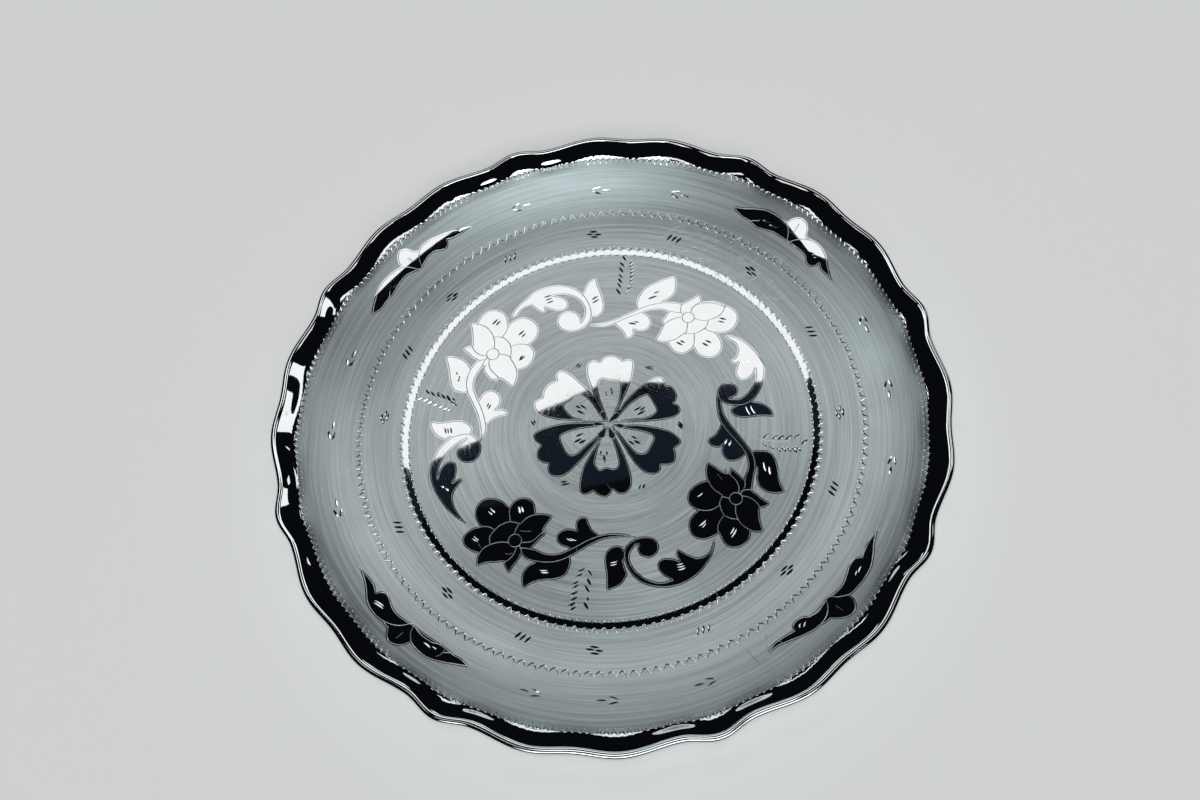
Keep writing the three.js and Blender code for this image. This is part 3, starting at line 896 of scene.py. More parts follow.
# %% [markdown]
# Where two petals share an edge, the engraver cuts it once. So a new outline is drawn onto a line that is
# already there wherever it comes closer than SAME_LINE, and only the rest of it is cut.
# The line runs just inside the outline, and the burnisher reaches a little over it, so the polish ends
# just outside it.

# %% Outlines that share their edges
SAME_LINE = 0.7
LINE_INSET = 0.34
EDGE_GROWTH = 0.2
LEAST_SPAN = 1e-12
SAME_POINT = 0.01


def nearest_on(lines, points):
    start = lines[:, 0][None]
    span = (lines[:, 1] - lines[:, 0])[None]
    share = ((points[:, None] - start) * span).sum(2) / np.maximum((span**2).sum(2), LEAST_SPAN)
    spot = start + np.clip(share, 0, 1)[..., None] * span
    gap = np.linalg.norm(points[:, None] - spot, axis=2)
    best = gap.argmin(1)
    rows = np.arange(len(points))
    return gap[rows, best], spot[rows, best]


def turn_sign(points):
    x, y = np.asarray(points).T
    return np.sign(np.sum(x * np.roll(y, -1) - y * np.roll(x, -1)))


def moved_out(path, amount, closed=False):
    path = np.asarray(path, float)
    if closed:
        path = path[np.linalg.norm(path - np.roll(path, 1, 0), axis=1) > SAME_POINT]
        direction = unit(np.roll(path, -1, 0) - np.roll(path, 1, 0), LEAST_STEP)
    else:
        direction = along(path)
    return path - left_of(direction) * amount


def draw(outline, earlier, turn, line_out=-LINE_INSET, edge_out=EDGE_GROWTH):
    shape = []
    fresh = []
    sweeps = sweeps_of(outline)
    way = turn_sign(np.concatenate(sweeps))
    for sweep in sweeps:
        new = np.ones(len(sweep), bool)
        if len(earlier):
            gap, spot = nearest_on(np.concatenate(earlier), sweep)
            new = gap >= SAME_LINE
            sweep = np.where(new[:, None], sweep, spot)
        shape.append(sweep)
        fresh.append(np.stack([sweep[:-1], sweep[1:]], 1))
        marked = np.flatnonzero(new)
        if not len(marked):
            continue
        for run in np.split(marked, np.flatnonzero(np.diff(marked) > 1) + 1):
            first = max(run[0] - 1, 0)
            last = min(run[-1] + 1, len(sweep) - 1)
            if last - first > 1:
                cut(turned(moved_out(sweep[first : last + 1], way * line_out), turn))
    earlier.extend(fresh)
    return turned(moved_out(np.concatenate(shape), way * edge_out, closed=True), turn)


def circle(x, y, radius, count):
    turn = np.linspace(0, 2 * np.pi, count + 1)
    return np.stack([x + radius * np.cos(turn), y + radius * np.sin(turn)], 1)


print("lines closer than this are one, in mm:", SAME_LINE)

# %% [markdown]
# ## Sprays, winged buds and the rosette
# The four sprays make a wreath round the floor, head to tail. A burnisher has polished the metal inside
# every outline, so the motifs stand out against the satin ground. An image could mask the polish. The
# outlines are kept as shapes instead, so that the polish later ends on an edge of the mesh, as sharply as
# the real one does.

# %% The four sprays
DEEP_PUSH = 0.25
LIGHT_PUSH = 0.06
EAR_PUSH = 0.16
HEART_SIDES = 18
THIN_CUT = {"width": 0.3, "depth": 0.06}
STALK_CUT = {"width": 0.25, "depth": 0.03}
NOT_PARTS = ("turn", "heart", "second_cuts", "stalk", "ear", "dashes", "light_dashes")
SPRAY_PARTS = [name for name in SPRAY_BACK if name not in NOT_PARTS]
polished_shapes = []
dashes = []
dash_depths = []


def add_dashes(ends, turn, shift=0.0, push=DEEP_PUSH):
    ends = np.asarray(ends, float).reshape(-1, 2, 2)
    dashes.extend(turned(ends + np.array([0.0, shift]), turn))
    dash_depths.extend([push] * len(ends))


for spray in SPRAYS:
    heart = circle(*spray["heart"], HEART_SIDES)
    earlier = [np.stack([heart[:-1], heart[1:]], 1)]
    cut(turned(heart, spray["turn"]), closed=True)
    polished_shapes.append(turned(heart, spray["turn"]))
    for name in SPRAY_PARTS:
        polished_shapes.append(draw(spray[name], earlier, spray["turn"]))
    for line in spray["second_cuts"]:
        cut(turned(sweep_through(line), spray["turn"]), **THIN_CUT)
    if spray["stalk"]:
        cut(turned(sweep_through(spray["stalk"]), spray["turn"]), **STALK_CUT)
    add_dashes(spray["ear"], spray["turn"], push=EAR_PUSH)
    add_dashes(spray["dashes"], spray["turn"])
    add_dashes(spray["light_dashes"], spray["turn"], push=LIGHT_PUSH)
print("polished shapes:", len(polished_shapes), "single marks:", len(dashes))

# %% The four winged buds
for bud in WINGED_BUDS:
    earlier = []
    for name in ("left", "right", "bud"):
        polished_shapes.append(draw(bud[name], earlier, bud["turn"]))
    for line in bud["veins"]:
        cut(turned(sweep_through(line), bud["turn"]), **THIN_CUT)
    add_dashes(bud["dashes"], bud["turn"], push=LIGHT_PUSH)
print("polished shapes:", len(polished_shapes), "single marks:", len(dashes))

# %% The rosette and its seeds
TONGUE_LINE = 0.3
TONGUE_EDGE = -0.25
DROP_LINE = 0.25
DROP_WIDTH = 1.35
DROP_PROFILE = [(0.3, 0.45), (0.6, 0.9), (0.8, 1.0), (0.95, 0.6)]


def drop(start, end, width):
    start = np.array(start, float)
    end = np.array(end, float)
    span = end - start
    aside = np.array([-span[1], span[0]]) / np.linalg.norm(span)
    left = [tuple(start + span * t + aside * width / 2 * w) for t, w in DROP_PROFILE]
    right = [tuple(start + span * t - aside * width / 2 * w) for t, w in reversed(DROP_PROFILE)]
    return [tuple(start), *left, tuple(end), *right, tuple(start)]


earlier = []
for petal in ROSE_PETALS:
    polished_shapes.append(draw(petal, earlier, 0))
satin_shapes = [draw(tongue, earlier, 0, TONGUE_LINE, TONGUE_EDGE) for tongue in TONGUES]
drop_shapes = [draw(drop(start, end, width * DROP_WIDTH), [], 0, DROP_LINE, 0) for start, end, width in SEEDS]
print("shapes in all:", len(polished_shapes) + len(satin_shapes) + len(drop_shapes))

# %% Marks round the rosette and on the flange
FLANGE_PUSH = 0.19
WALLS_IN_A_STEP = 4
add_dashes(ROSE_DASHES, 0)
for marks, angles, radius in FLANGE_GROUPS:
    for angle in angles:
        add_dashes(marks, angle - 90, radius, FLANGE_PUSH)
steps = sum(len(wall) for wall in walls) // WALLS_IN_A_STEP
print("graver lines:", steps, "steps, single marks:", len(dashes))

# %% [markdown]
# ## Stamps and the marks made with them
# A bright cut is one push and flick of a rounded graver. It leaves a scoop like a grain of rice, which
# mirrors a window on one side and the dark on the other. The borders are wriggle cuts: the tool is rocked
# from corner to corner as it walks round the plate, so each step leaves the same small curve.
# A thousand such marks drawn one by one would make a long script. Each kind is modelled once, as a stamp
# of a few walls, and Geometry Nodes sets it in its places.

# %% Stamps
DEPTHS_DOWN = np.array([1, 1, -1])
BOW_END = 0.3
SCOOP_PLACES = np.array([-0.5, -0.28, 0, 0.28, 0.5])
SCOOP_WIDTHS = np.array([0, 0.74, 1, 0.74, 0])
SCOOP_DEPTHS = np.array([0, 0.8, 1, 0.8, 0])
TOOTH_PATH = [(-2.3, 1.3), (-1.15, -0.5), (-0.1, -1.3), (0.95, -0.5), (2.15, 1.3)]
TOOTH_HALF_WIDTHS = [0.12, 0.36, 0.34, 0.36, 0.12]
TOOTH_DEPTHS = [0.02, 0.1, 0.1, 0.1, 0.02]


def link(thing):
    bpy.context.scene.collection.objects.link(thing)
    return thing


def stamp(name, triangles):
    points = triangles.reshape(-1, 3) * DEPTHS_DOWN * MM
    faces = np.arange(len(points)).reshape(-1, 3)
    mesh = bpy.data.meshes.new(name)
    mesh.from_pydata(points.tolist(), [], faces.tolist())
    return link(bpy.data.objects.new(name, mesh))


def ribs(path, half_widths, depths):
    path = np.asarray(path, float)
    across = left_of(along(path)) * np.asarray(half_widths, float)[:, None]
    return groove(path, across, np.asarray(depths, float))


def bow(width, rise, thickness, depth, steps):
    x = np.linspace(-width / 2, width / 2, steps + 1)
    path = np.stack([x, rise * (1 - (2 * x / width) ** 2)], 1)
    half = np.full(steps + 1, thickness / 2)
    half[[0, -1]] *= BOW_END
    return ribs(path, half, np.where(half > thickness / 4, depth, 0))


def scoop(length, width, depth):
    x = SCOOP_PLACES * length
    return ribs(np.stack([x, 0 * x], 1), SCOOP_WIDTHS * width / 2, SCOOP_DEPTHS * depth)


grain_stamp = stamp("grain_stamp", scoop(length=1, width=1, depth=1))
outer_bow_stamp = stamp("outer_bow_stamp", bow(width=2.7, rise=-2.2, thickness=0.6, depth=0.08, steps=6))
inner_bow_stamp = stamp("inner_bow_stamp", bow(width=2.8, rise=1.0, thickness=0.55, depth=0.08, steps=5))
rim_bow_stamp = stamp("rim_bow_stamp", bow(width=2.4, rise=1.8, thickness=0.6, depth=0.09, steps=6))
rim_dot_stamp = stamp("rim_dot_stamp", scoop(length=1.15, width=0.7, depth=0.14))
tooth_stamp = stamp("tooth_stamp", ribs(TOOTH_PATH, TOOTH_HALF_WIDTHS, TOOTH_DEPTHS))
stamps = [grain_stamp, outer_bow_stamp, inner_bow_stamp, rim_bow_stamp, rim_dot_stamp, tooth_stamp]
print("walls in each stamp:", {thing.name: len(thing.data.polygons) for thing in stamps})

# %% [markdown]
# The first tree sets a stamp round a ring. An array modifier would set them evenly, but hand work is never
# even. So each step is a little out of place, a little turned and a little larger or smaller than the
# last, from a fixed seed.

# %% Small helpers for nodes
SOCKET_KINDS = {
    "Geometry": "Geometry",
    "Material": "Material",
    "Stamp": "Object",
    "Count": "Int",
    "Sides": "Int",
}


def add_node(tree, kind, inputs=None, **settings):
    node = tree.nodes.new(kind)
    for name, value in settings.items():
        setattr(node, name, value)
    for socket, value in (inputs or {}).items():
        if isinstance(value, bpy.types.NodeSocket):
            tree.links.new(value, node.inputs[socket])
        else:
            node.inputs[socket].default_value = value
    return node


def new_tree(name, labels):
    tree = bpy.data.node_groups.new(name, "GeometryNodeTree")
    sockets = {}
    for label in labels:
        kind = "NodeSocket" + SOCKET_KINDS.get(label, "Float")
        sockets[label] = tree.interface.new_socket(label, in_out="INPUT", socket_type=kind).identifier
    tree.interface.new_socket("Geometry", in_out="OUTPUT", socket_type="NodeSocketGeometry")
    return tree, sockets, add_node(tree, "NodeGroupInput").outputs


def reckon(tree, operation, *values):
    return add_node(tree, "ShaderNodeMath", dict(enumerate(values)), operation=operation).outputs[0]


def vector_of(tree, x, y, z):
    return add_node(tree, "ShaderNodeCombineXYZ", {0: x, 1: y, 2: z}).outputs[0]


def spread(tree, start, amount, seed, offset):
    lowest = reckon(tree, "MULTIPLY", amount, -1.0)
    own_seed = reckon(tree, "ADD", seed, offset)
    inputs = {2: lowest, 3: amount, 8: own_seed}
    node = add_node(tree, "FunctionNodeRandomValue", inputs, data_type="FLOAT")
    return reckon(tree, "ADD", start, node.outputs[1])


def end_tree(tree, geometry_made, material):
    real = add_node(tree, "GeometryNodeRealizeInstances", {0: geometry_made})
    painted = add_node(tree, "GeometryNodeSetMaterial", {0: real.outputs[0], "Material": material})
    add_node(tree, "NodeGroupOutput", {0: painted.outputs[0]})
    print(tree.name, "has", len(tree.nodes), "nodes")


def set_stamps(tree, given, points, turn, scale):
    info = add_node(tree, "GeometryNodeObjectInfo", {0: given["Stamp"]})
    rotation = add_node(tree, "FunctionNodeEulerToRotation", {0: vector_of(tree, 0.0, 0.0, turn)})
    inputs = {
        "Points": points,
        "Instance": info.outputs["Geometry"],
        "Rotation": rotation.outputs[0],
        "Scale": scale,
    }
    placed = add_node(tree, "GeometryNodeInstanceOnPoints", inputs)
    end_tree(tree, placed.outputs[0], given["Material"])


print("kinds of socket:", sorted(set(SOCKET_KINDS.values()) | {"Float"}))

# %% Cuts round a ring
RING_LABELS = ["Geometry", "Stamp", "Count", "Radius", "Start", "Seed", "Material"]
SPREAD_LABELS = ["Radius spread", "Turn spread", "Size spread"]
ring_tree, ring_inputs, given = new_tree("cuts_round_a_ring", RING_LABELS + SPREAD_LABELS)
row = add_node(ring_tree, "GeometryNodePoints", {"Count": given["Count"]})
index = add_node(ring_tree, "GeometryNodeInputIndex")
part_turn = reckon(ring_tree, "DIVIDE", 2 * math.pi, given["Count"])
place = reckon(ring_tree, "MULTIPLY_ADD", index.outputs[0], part_turn, given["Start"])
reach = spread(ring_tree, given["Radius"], given["Radius spread"], given["Seed"], 0.0)
spot_x = reckon(ring_tree, "MULTIPLY", reckon(ring_tree, "COSINE", place), reach)
spot_y = reckon(ring_tree, "MULTIPLY", reckon(ring_tree, "SINE", place), reach)
spot = vector_of(ring_tree, spot_x, spot_y, 0.0)
moved = add_node(ring_tree, "GeometryNodeSetPosition", {"Geometry": row.outputs[0], "Position": spot})
facing = reckon(ring_tree, "SUBTRACT", place, math.pi / 2)
lean = spread(ring_tree, facing, given["Turn spread"], given["Seed"], 1.0)
size = spread(ring_tree, 1.0, given["Size spread"], given["Seed"], 2.0)
set_stamps(ring_tree, given, moved.outputs[0], lean, vector_of(ring_tree, size, size, size))

# %% [markdown]
# The second tree sets a stamp at chosen places. Each place carries its own turn and its own length, width
# and depth, as attributes.

# %% Cuts at chosen places
def own_value(tree, name, kind):
    return add_node(tree, "GeometryNodeInputNamedAttribute", {"Name": name}, data_type=kind).outputs[0]


place_tree, place_inputs, given = new_tree("cuts_at_places", ["Geometry", "Stamp", "Material"])
own_turn = own_value(place_tree, "own_turn", "FLOAT")
own_size = own_value(place_tree, "own_size", "FLOAT_VECTOR")
set_stamps(place_tree, given, given["Geometry"], own_turn, own_size)

# %% [markdown]
# The modifier could stay live on the plate, but the sheet can't be cut before the walls are known as
# numbers. So a tree is run once, on an object that only holds its modifier, and the walls are read back
# from the plain mesh that it makes.

# %% Running a tree
BOW_SPREADS = 0.12 * MM, 0.06, 0.08


def run_tree(holder_mesh, tree, sockets, values):
    holder = link(bpy.data.objects.new("holder", holder_mesh))
    modifier = holder.modifiers.new("holder", "NODES")
    modifier.node_group = tree
    for label, value in values.items():
        modifier[sockets[label]] = value
    graph = bpy.context.evaluated_depsgraph_get()
    mesh = bpy.data.meshes.new_from_object(holder.evaluated_get(graph))
    holder.modifiers.remove(modifier)
    bpy.data.objects.remove(holder)
    return mesh


def walls_of(mesh):
    places = np.zeros(len(mesh.vertices) * 3)
    mesh.vertices.foreach_get("co", places)
    mesh.calc_loop_triangles()
    rows = np.zeros(len(mesh.loop_triangles) * 3, int)
    mesh.loop_triangles.foreach_get("vertices", rows)
    bpy.data.meshes.remove(mesh)
    places = places.reshape(-1, 3) / MM * DEPTHS_DOWN
    return places[rows].reshape(-1, 3, 3)


def ring_of_cuts(stamp_object, count, radius, start, kind, seed, spreads=BOW_SPREADS):
    values = {
        "Stamp": stamp_object,
        "Count": count,
        "Radius": radius * MM,
        "Start": math.radians(start),
        "Seed": float(seed),
        "Material": metals[kind],
    }
    values.update(zip(SPREAD_LABELS, spreads))
    marks = walls_of(run_tree(bpy.data.meshes.new("marks"), ring_tree, ring_inputs, values))
    add_walls(marks, kind, len(marks) // count)
    print(stamp_object.name, "times", count, "makes", len(marks), "walls")


print("walls of the graver lines:", sum(len(wall) for wall in walls))

# %% [markdown]
# Rows of bows run along both edges of the polished ring, a zigzag goes round halfway up the flange, and the
# rim's border is a row of bows with a small scoop between every two.

# %% The borders
RING_INNER = 90.5
RING_OUTER = 93.4
RIM_BORDER = 138.8
DOT_SPREADS = 0.1 * MM, 0.3, 0.15
ring_of_cuts(outer_bow_stamp, count=142, radius=95.1, start=0.4, kind=WRIGGLE, seed=11)
ring_of_cuts(inner_bow_stamp, count=147, radius=89.6, start=1.1, kind=WRIGGLE, seed=12)
ring_of_cuts(tooth_stamp, count=152, radius=113.0, start=0.0, kind=WRIGGLE, seed=13)
ring_of_cuts(rim_bow_stamp, count=290, radius=137.5, start=0.0, kind=WRIGGLE, seed=14)
ring_of_cuts(rim_dot_stamp, count=290, radius=137.0, start=0.62, kind=BRIGHT, seed=16, spreads=DOT_SPREADS)

# %% The single marks
GRAIN_WIDTH = 0.98
GRAIN_WIDTH_SPREAD = 0.15
GRAIN_STRETCH = 1.15
FULL_WIDTH_LENGTH = 3.2
LEAST_WIDTH_SHARE = 0.8
MOST_WIDTH_SHARE = 1.1
ends = np.array(dashes)
span = ends[:, 1] - ends[:, 0]
length = np.linalg.norm(span, axis=1)
hand = rng.uniform(1 - GRAIN_WIDTH_SPREAD, 1 + GRAIN_WIDTH_SPREAD, len(ends))
width = GRAIN_WIDTH * hand * np.clip(length / FULL_WIDTH_LENGTH, LEAST_WIDTH_SHARE, MOST_WIDTH_SHARE)
sizes = np.stack([length * GRAIN_STRETCH, width, np.array(dash_depths) * width / GRAIN_WIDTH], 1)
places = bpy.data.meshes.new("places")
middles = np.hstack([ends.mean(1) * MM, np.zeros((len(ends), 1))])
places.from_pydata(middles.tolist(), [], [])
turn_layer = places.attributes.new("own_turn", "FLOAT", "POINT")
turn_layer.data.foreach_set("value", np.arctan2(span[:, 1], span[:, 0]))
size_layer = places.attributes.new("own_size", "FLOAT_VECTOR", "POINT")
size_layer.data.foreach_set("vector", sizes.ravel())
values = {"Stamp": grain_stamp, "Material": metals[BRIGHT]}
grains = walls_of(run_tree(places, place_tree, place_inputs, values))
add_walls(grains, BRIGHT, len(grains) // len(ends))
for thing in stamps:
    bpy.data.objects.remove(thing)
print("walls in the single marks:", len(grains))

# %% [markdown]
# ## Years of use
# The flange is scratched most where a hand takes the plate and where it leans on a wall. A noise texture
# could hint at this, but a real scratch has two ends and catches the light along its length. So a scratch
# is a cut too, only much thinner and shallower, and it takes no notice of the ornament.

# %% Scratches
SCRATCH_STEP = 1.5
MOST_BEND = 0.35


def scratches(count, radii, angles, lengths, width, depth):
    for _ in range(count):
        radius = rng.uniform(*radii)
        angle = math.radians(rng.uniform(*angles))
        heading = rng.uniform(0, 2 * math.pi)
        bend = rng.uniform(-MOST_BEND, MOST_BEND)
        x = radius * math.cos(angle)
        y = radius * math.sin(angle)
        path = [(x, y)]
        for _ in range(max(2, round(rng.uniform(*lengths) / SCRATCH_STEP))):
            heading += bend
            x += SCRATCH_STEP * math.cos(heading)
            y += SCRATCH_STEP * math.sin(heading)
            path.append((x, y))
        cut(path, width=width, depth=depth, kind=SCRATCH)


scratches(90, radii=(95, 112), angles=(28, 64), lengths=(3, 12), width=0.22, depth=0.03)
scratches(20, radii=(96, 130), angles=(140, 300), lengths=(3, 10), width=0.2, depth=0.03)
scratches(24, radii=(20, 134), angles=(0, 360), lengths=(2, 9), width=0.12, depth=0.02)
print("walls in all:", sum(len(wall) for wall in walls))

# %% [markdown]
# ## Cutting the sheet
# A boolean modifier could carve the grooves out of the solid, but on thousands of shallow cuts it is slow
# and leaves faults. So all walls, the edges of the polished ring and of the rim's mirror band, and a
# sprinkling of points on the curved flange go into one flat triangulation of the plate's top. Every
# triangle then knows which walls it lies on, and the cuts become real grooves in one closed sheet.

# %% The walls in one list
def inside(shape, points):
    x, y = points.T
    x_low, y_low = shape.min(0)
    x_high, y_high = shape.max(0)
    rows = np.flatnonzero((x > x_low) & (x < x_high) & (y > y_low) & (y < y_high))
    x = x[rows]
    y = y[rows]
    odd = np.zeros(len(rows), bool)
    for (ax, ay), (bx, by) in zip(shape, np.roll(shape, -1, 0)):
        crosses = (ay > y) != (by > y)
        with np.errstate(divide="ignore", invalid="ignore"):
            odd ^= crosses & (x < (bx - ax) * (y - ay) / (by - ay) + ax)
    result = np.zeros(len(points), bool)
    result[rows] = odd
    return result


LEAST_AREA = 1e-5
wall = np.concatenate(walls)
wall_kind = np.concatenate(wall_kinds)
wall_side = np.concatenate(wall_sides)
area = np.cross(wall[:, 1, :2] - wall[:, 0, :2], wall[:, 2, :2] - wall[:, 0, :2]) / 2
wall[area < 0] = wall[area < 0][:, ::-1]
kept = np.abs(area) > LEAST_AREA
for shape in drop_shapes:
    kept &= ~inside(shape, wall[:, :, :2].mean(1))
wall = wall[kept]
wall_kind = wall_kind[kept]
wall_side = wall_side[kept]
wall_side_a = wall[:, 1] - wall[:, 0]
wall_side_b = wall[:, 2] - wall[:, 0]
wall_twice_area = wall_side_a[:, 0] * wall_side_b[:, 1] - wall_side_a[:, 1] * wall_side_b[:, 0]
print("walls that are kept:", len(wall))

# %% Points and edges of the flat plan
SEGMENTS = 576
RING_SEGMENTS = 480
EDGE_RADIUS = 141.5
FLANGE_STEP = 2.6
FLANGE_STRETCH = 1.1
FLANGE_START = FLOOR_RADIUS + 2.5
FLANGE_END = EDGE_RADIUS - 1
KEEP_OFF = 0.8
PLAN_DIGITS = 4


def ring_points(radius, count=SEGMENTS):
    turn = np.radians(FIRST_SMALL_LOBE + 360 * np.arange(count) / count)
    return np.stack([radius * np.cos(turn), radius * np.sin(turn)], 1)


def flange_points():
    tree = KDTree(len(wall))
    for number, middle in enumerate(wall.mean(1)):
        tree.insert((middle[0], middle[1], 0), number)
    tree.balance()
    free = []
    for number, radius in enumerate(np.arange(FLANGE_START, FLANGE_END, FLANGE_STEP)):
        count = round(2 * math.pi * radius / FLANGE_STEP / FLANGE_STRETCH)
        turn = 2 * math.pi * (np.arange(count) + 0.5 * (number % 2)) / count
        for x, y in np.stack([radius * np.cos(turn), radius * np.sin(turn)], 1):
            if tree.find((x, y, 0))[2] > KEEP_OFF:
                free.append((x, y))
    return np.array(free)


wall_spots = np.round(wall[:, :, :2].reshape(-1, 2), PLAN_DIGITS)
wall_spots, wall_corner = np.unique(wall_spots, axis=0, return_inverse=True)
wall_corner = wall_corner.reshape(-1, 3)
wall_edges = np.concatenate([wall_corner[:, [0, 1]], wall_corner[:, [1, 2]], wall_corner[:, [2, 0]]])
wall_edges = np.unique(np.sort(wall_edges, 1), axis=0)
wall_edges = wall_edges[wall_edges[:, 0] != wall_edges[:, 1]]
circles = [
    ring_points(EDGE_RADIUS),
    ring_points(RING_INNER, RING_SEGMENTS),
    ring_points(RING_OUTER, RING_SEGMENTS),
    ring_points(RIM_BORDER),
]
rings = [*circles, *polished_shapes, *satin_shapes, *drop_shapes]
plan = [wall_spots, *rings, flange_points()]
starts = np.cumsum([0] + [len(part) for part in plan])
edges = wall_edges.tolist()
for start, ring in zip(starts[1:], rings):
    count = len(ring)
    edges.extend((int(start + i), int(start + (i + 1) % count)) for i in range(count))
print("points:", starts[-1], "constraint edges:", len(edges), "walls:", len(wall))

# %% The flat triangulation
MERGE_WITHIN = 0.0001
WHOLE_HULL = 0
flat = [Vector(point) for point in np.concatenate(plan).tolist()]
result = geometry.delaunay_2d_cdt(flat, edges, [], WHOLE_HULL, MERGE_WITHIN, True)
flat_points = np.array([point[:] for point in result[0]])
triangles = np.array(result[2])
sources_of_points = result[3]
first = flat_points[triangles[:, 0]]
crossing = np.cross(flat_points[triangles[:, 1]] - first, flat_points[triangles[:, 2]] - first)
triangles[crossing < 0] = triangles[crossing < 0][:, ::-1]
print("points:", len(flat_points), "triangles:", len(triangles))

# %% [markdown]
# A triangle lies on a wall if its centre does. Where two cuts cross, the deeper one wins at each point.
# The triangles are sorted into square cells, so each wall is held against its neighbours alone.

# %% Which wall each triangle lies on
CELL = 1.0
CELLS_ACROSS = 1000
centres = flat_points[triangles].mean(1)


def cell_of(points):
    return np.floor(points / CELL).astype(int) + CELLS_ACROSS // 2


cell = cell_of(centres)
cell_number = cell[:, 0] * CELLS_ACROSS + cell[:, 1]
order = np.argsort(cell_number)
sorted_numbers = cell_number[order]
wall_low = cell_of(wall[:, :, :2].min(1))
wall_high = cell_of(wall[:, :, :2].max(1))
depth = np.zeros(len(flat_points))
triangle_kind = np.full(len(triangles), SATIN)
triangle_side = np.zeros(len(triangles), int)
owner_depth = np.full(len(triangles), -1.0)


def shares_on(number, points):
    side_a = wall_side_a[number]
    side_b = wall_side_b[number]
    x = points[..., 0] - wall[number, 0, 0]
    y = points[..., 1] - wall[number, 0, 1]
    u = (x * side_b[1] - y * side_b[0]) / wall_twice_area[number]
    v = (side_a[0] * y - side_a[1] * x) / wall_twice_area[number]
    return u, v


def depth_on(number, u, v):
    return wall[number, 0, 2] + u * wall_side_a[number, 2] + v * wall_side_b[number, 2]


for number in range(len(wall)):
    (x_low, y_low), (x_high, y_high) = wall_low[number], wall_high[number]
    for column in range(x_low, x_high + 1):
        begin = np.searchsorted(sorted_numbers, column * CELLS_ACROSS + y_low)
        stop = np.searchsorted(sorted_numbers, column * CELLS_ACROSS + y_high, side="right")
        near = order[begin:stop]
        u, v = shares_on(number, centres[near])
        held = (u > 0) & (v > 0) & (u + v < 1)
        near = near[held]
        if not len(near):
            continue
        here = depth_on(number, u[held], v[held])
        deeper = near[here > owner_depth[near]]
        triangle_kind[deeper] = wall_kind[number]
        triangle_side[deeper] = wall_side[number]
        owner_depth[near] = np.maximum(owner_depth[near], here)
        touched = triangles[near].ravel()
        np.maximum.at(depth, touched, depth_on(number, *shares_on(number, flat_points[touched])))
is_cut = triangle_kind >= GRAVED
print("cut triangles:", int(is_cut.sum()), "deepest cut:", round(depth.max(), 3), "mm")

# %% Which triangles are polished
reach = np.hypot(centres[:, 0], centres[:, 1])
polished = (reach > RING_INNER) & (reach < RING_OUTER) | (reach > RIM_BORDER)
for shape in polished_shapes:
    polished |= inside(shape, centres)
for shape in satin_shapes:
    polished &= ~inside(shape, centres)
for shape in drop_shapes:
    polished |= inside(shape, centres)
triangle_kind[(triangle_kind == SATIN) & polished] = BURNISHED
counts = np.bincount(triangle_kind).tolist()
print("triangles of each metal:", dict(zip(METAL_NAMES, counts)))

# %% [markdown]
# ## The rim, the roll and the back
# Outside the border the sheet is a plain grid: out over the mirror band, round the wire, and back along
# the underside to the centre. Spinning a profile would make a round plate, without scallops, so each row
# of the grid is put through the same rules as the top. The grid is joined to the cut sheet point by point,
# so the whole shell is closed.

# %% Rows of the grid
BAND_STEPS = 6
ROLL_STEPS = 14
INNER_ROLL_STEPS = 6
UNDERSIDE_RADII = [143, 138, 132, 125, 117, 109, 101, 95, 92, 60, 20]
column_angles = FIRST_SMALL_LOBE + 360 * np.arange(SEGMENTS) / SEGMENTS


def roll_arc(radius, steps):
    start = math.pi / 2 + meeting_slope
    sweep = 2 * math.pi - math.acos((BORE - SEAM_GAP) / ROLL)
    turn = start - sweep * np.arange(steps + 1) / steps
    return [(ROLL_CENTRE + radius * math.cos(a), ROLL_HEIGHT + radius * math.sin(a)) for a in turn]


def sheet_row(radius, depth):
    return on_sheet(np.full(SEGMENTS, float(radius)), column_angles, depth)


def roll_row(radius, height):
    return pressed(np.full(SEGMENTS, radius), column_angles, height, 1.0)


band_radii = np.linspace(EDGE_RADIUS, meeting_radius, BAND_STEPS + 1)[1:-1]
outer_rows = [sheet_row(radius, 0.0) for radius in band_radii]
outer_rows += [roll_row(*spot) for spot in roll_arc(ROLL, ROLL_STEPS)]
inner_rows = [roll_row(*spot) for spot in reversed(roll_arc(BORE, INNER_ROLL_STEPS))]
inner_rows += [sheet_row(radius, SHEET) for radius in UNDERSIDE_RADII]
grid = np.array(outer_rows + inner_rows)
print("grid:", len(outer_rows), "rows outside and", len(inner_rows), "inside, of", SEGMENTS)

# %% [markdown]
# ## One closed shell
# The flat points are bent onto the plate. Shade Smooth would round off the grooves and Shade Flat would
# show the facets of the flange. So the normals are written out: the ground and the polished metal take the
# smooth normals of the uncut sheet, and each side of a cut takes its own, which keeps its edges crisp.

# %% The top and its normals
radii = np.hypot(flat_points[:, 0], flat_points[:, 1])
angles = np.degrees(np.arctan2(flat_points[:, 1], flat_points[:, 0]))
top = on_sheet(radii, angles, depth)
smooth_up = up_from_sheet(radii, angles)
edge_of_plan = {}
for number, sources in enumerate(sources_of_points):
    for source in sources:
        if starts[1] <= source < starts[2]:
            edge_of_plan[source - starts[1]] = number
edge_row = np.array([edge_of_plan[i] for i in range(SEGMENTS)])

cut_faces = triangles[is_cut]
corner_a = top[cut_faces[:, 0]]
face_push = np.cross(top[cut_faces[:, 1]] - corner_a, top[cut_faces[:, 2]] - corner_a)
side_corner = triangle_side[is_cut][:, None] * len(top) + cut_faces
side_corner, shared = np.unique(side_corner, return_inverse=True)
cut_up = np.zeros((len(side_corner), 3))
np.add.at(cut_up, shared.reshape(-1), np.repeat(face_push, 3, axis=0))
top_normals = smooth_up[triangles]
top_normals[is_cut] = unit(cut_up)[shared.reshape(-1, 3)]
print("corners on the sides of cuts:", len(side_corner))

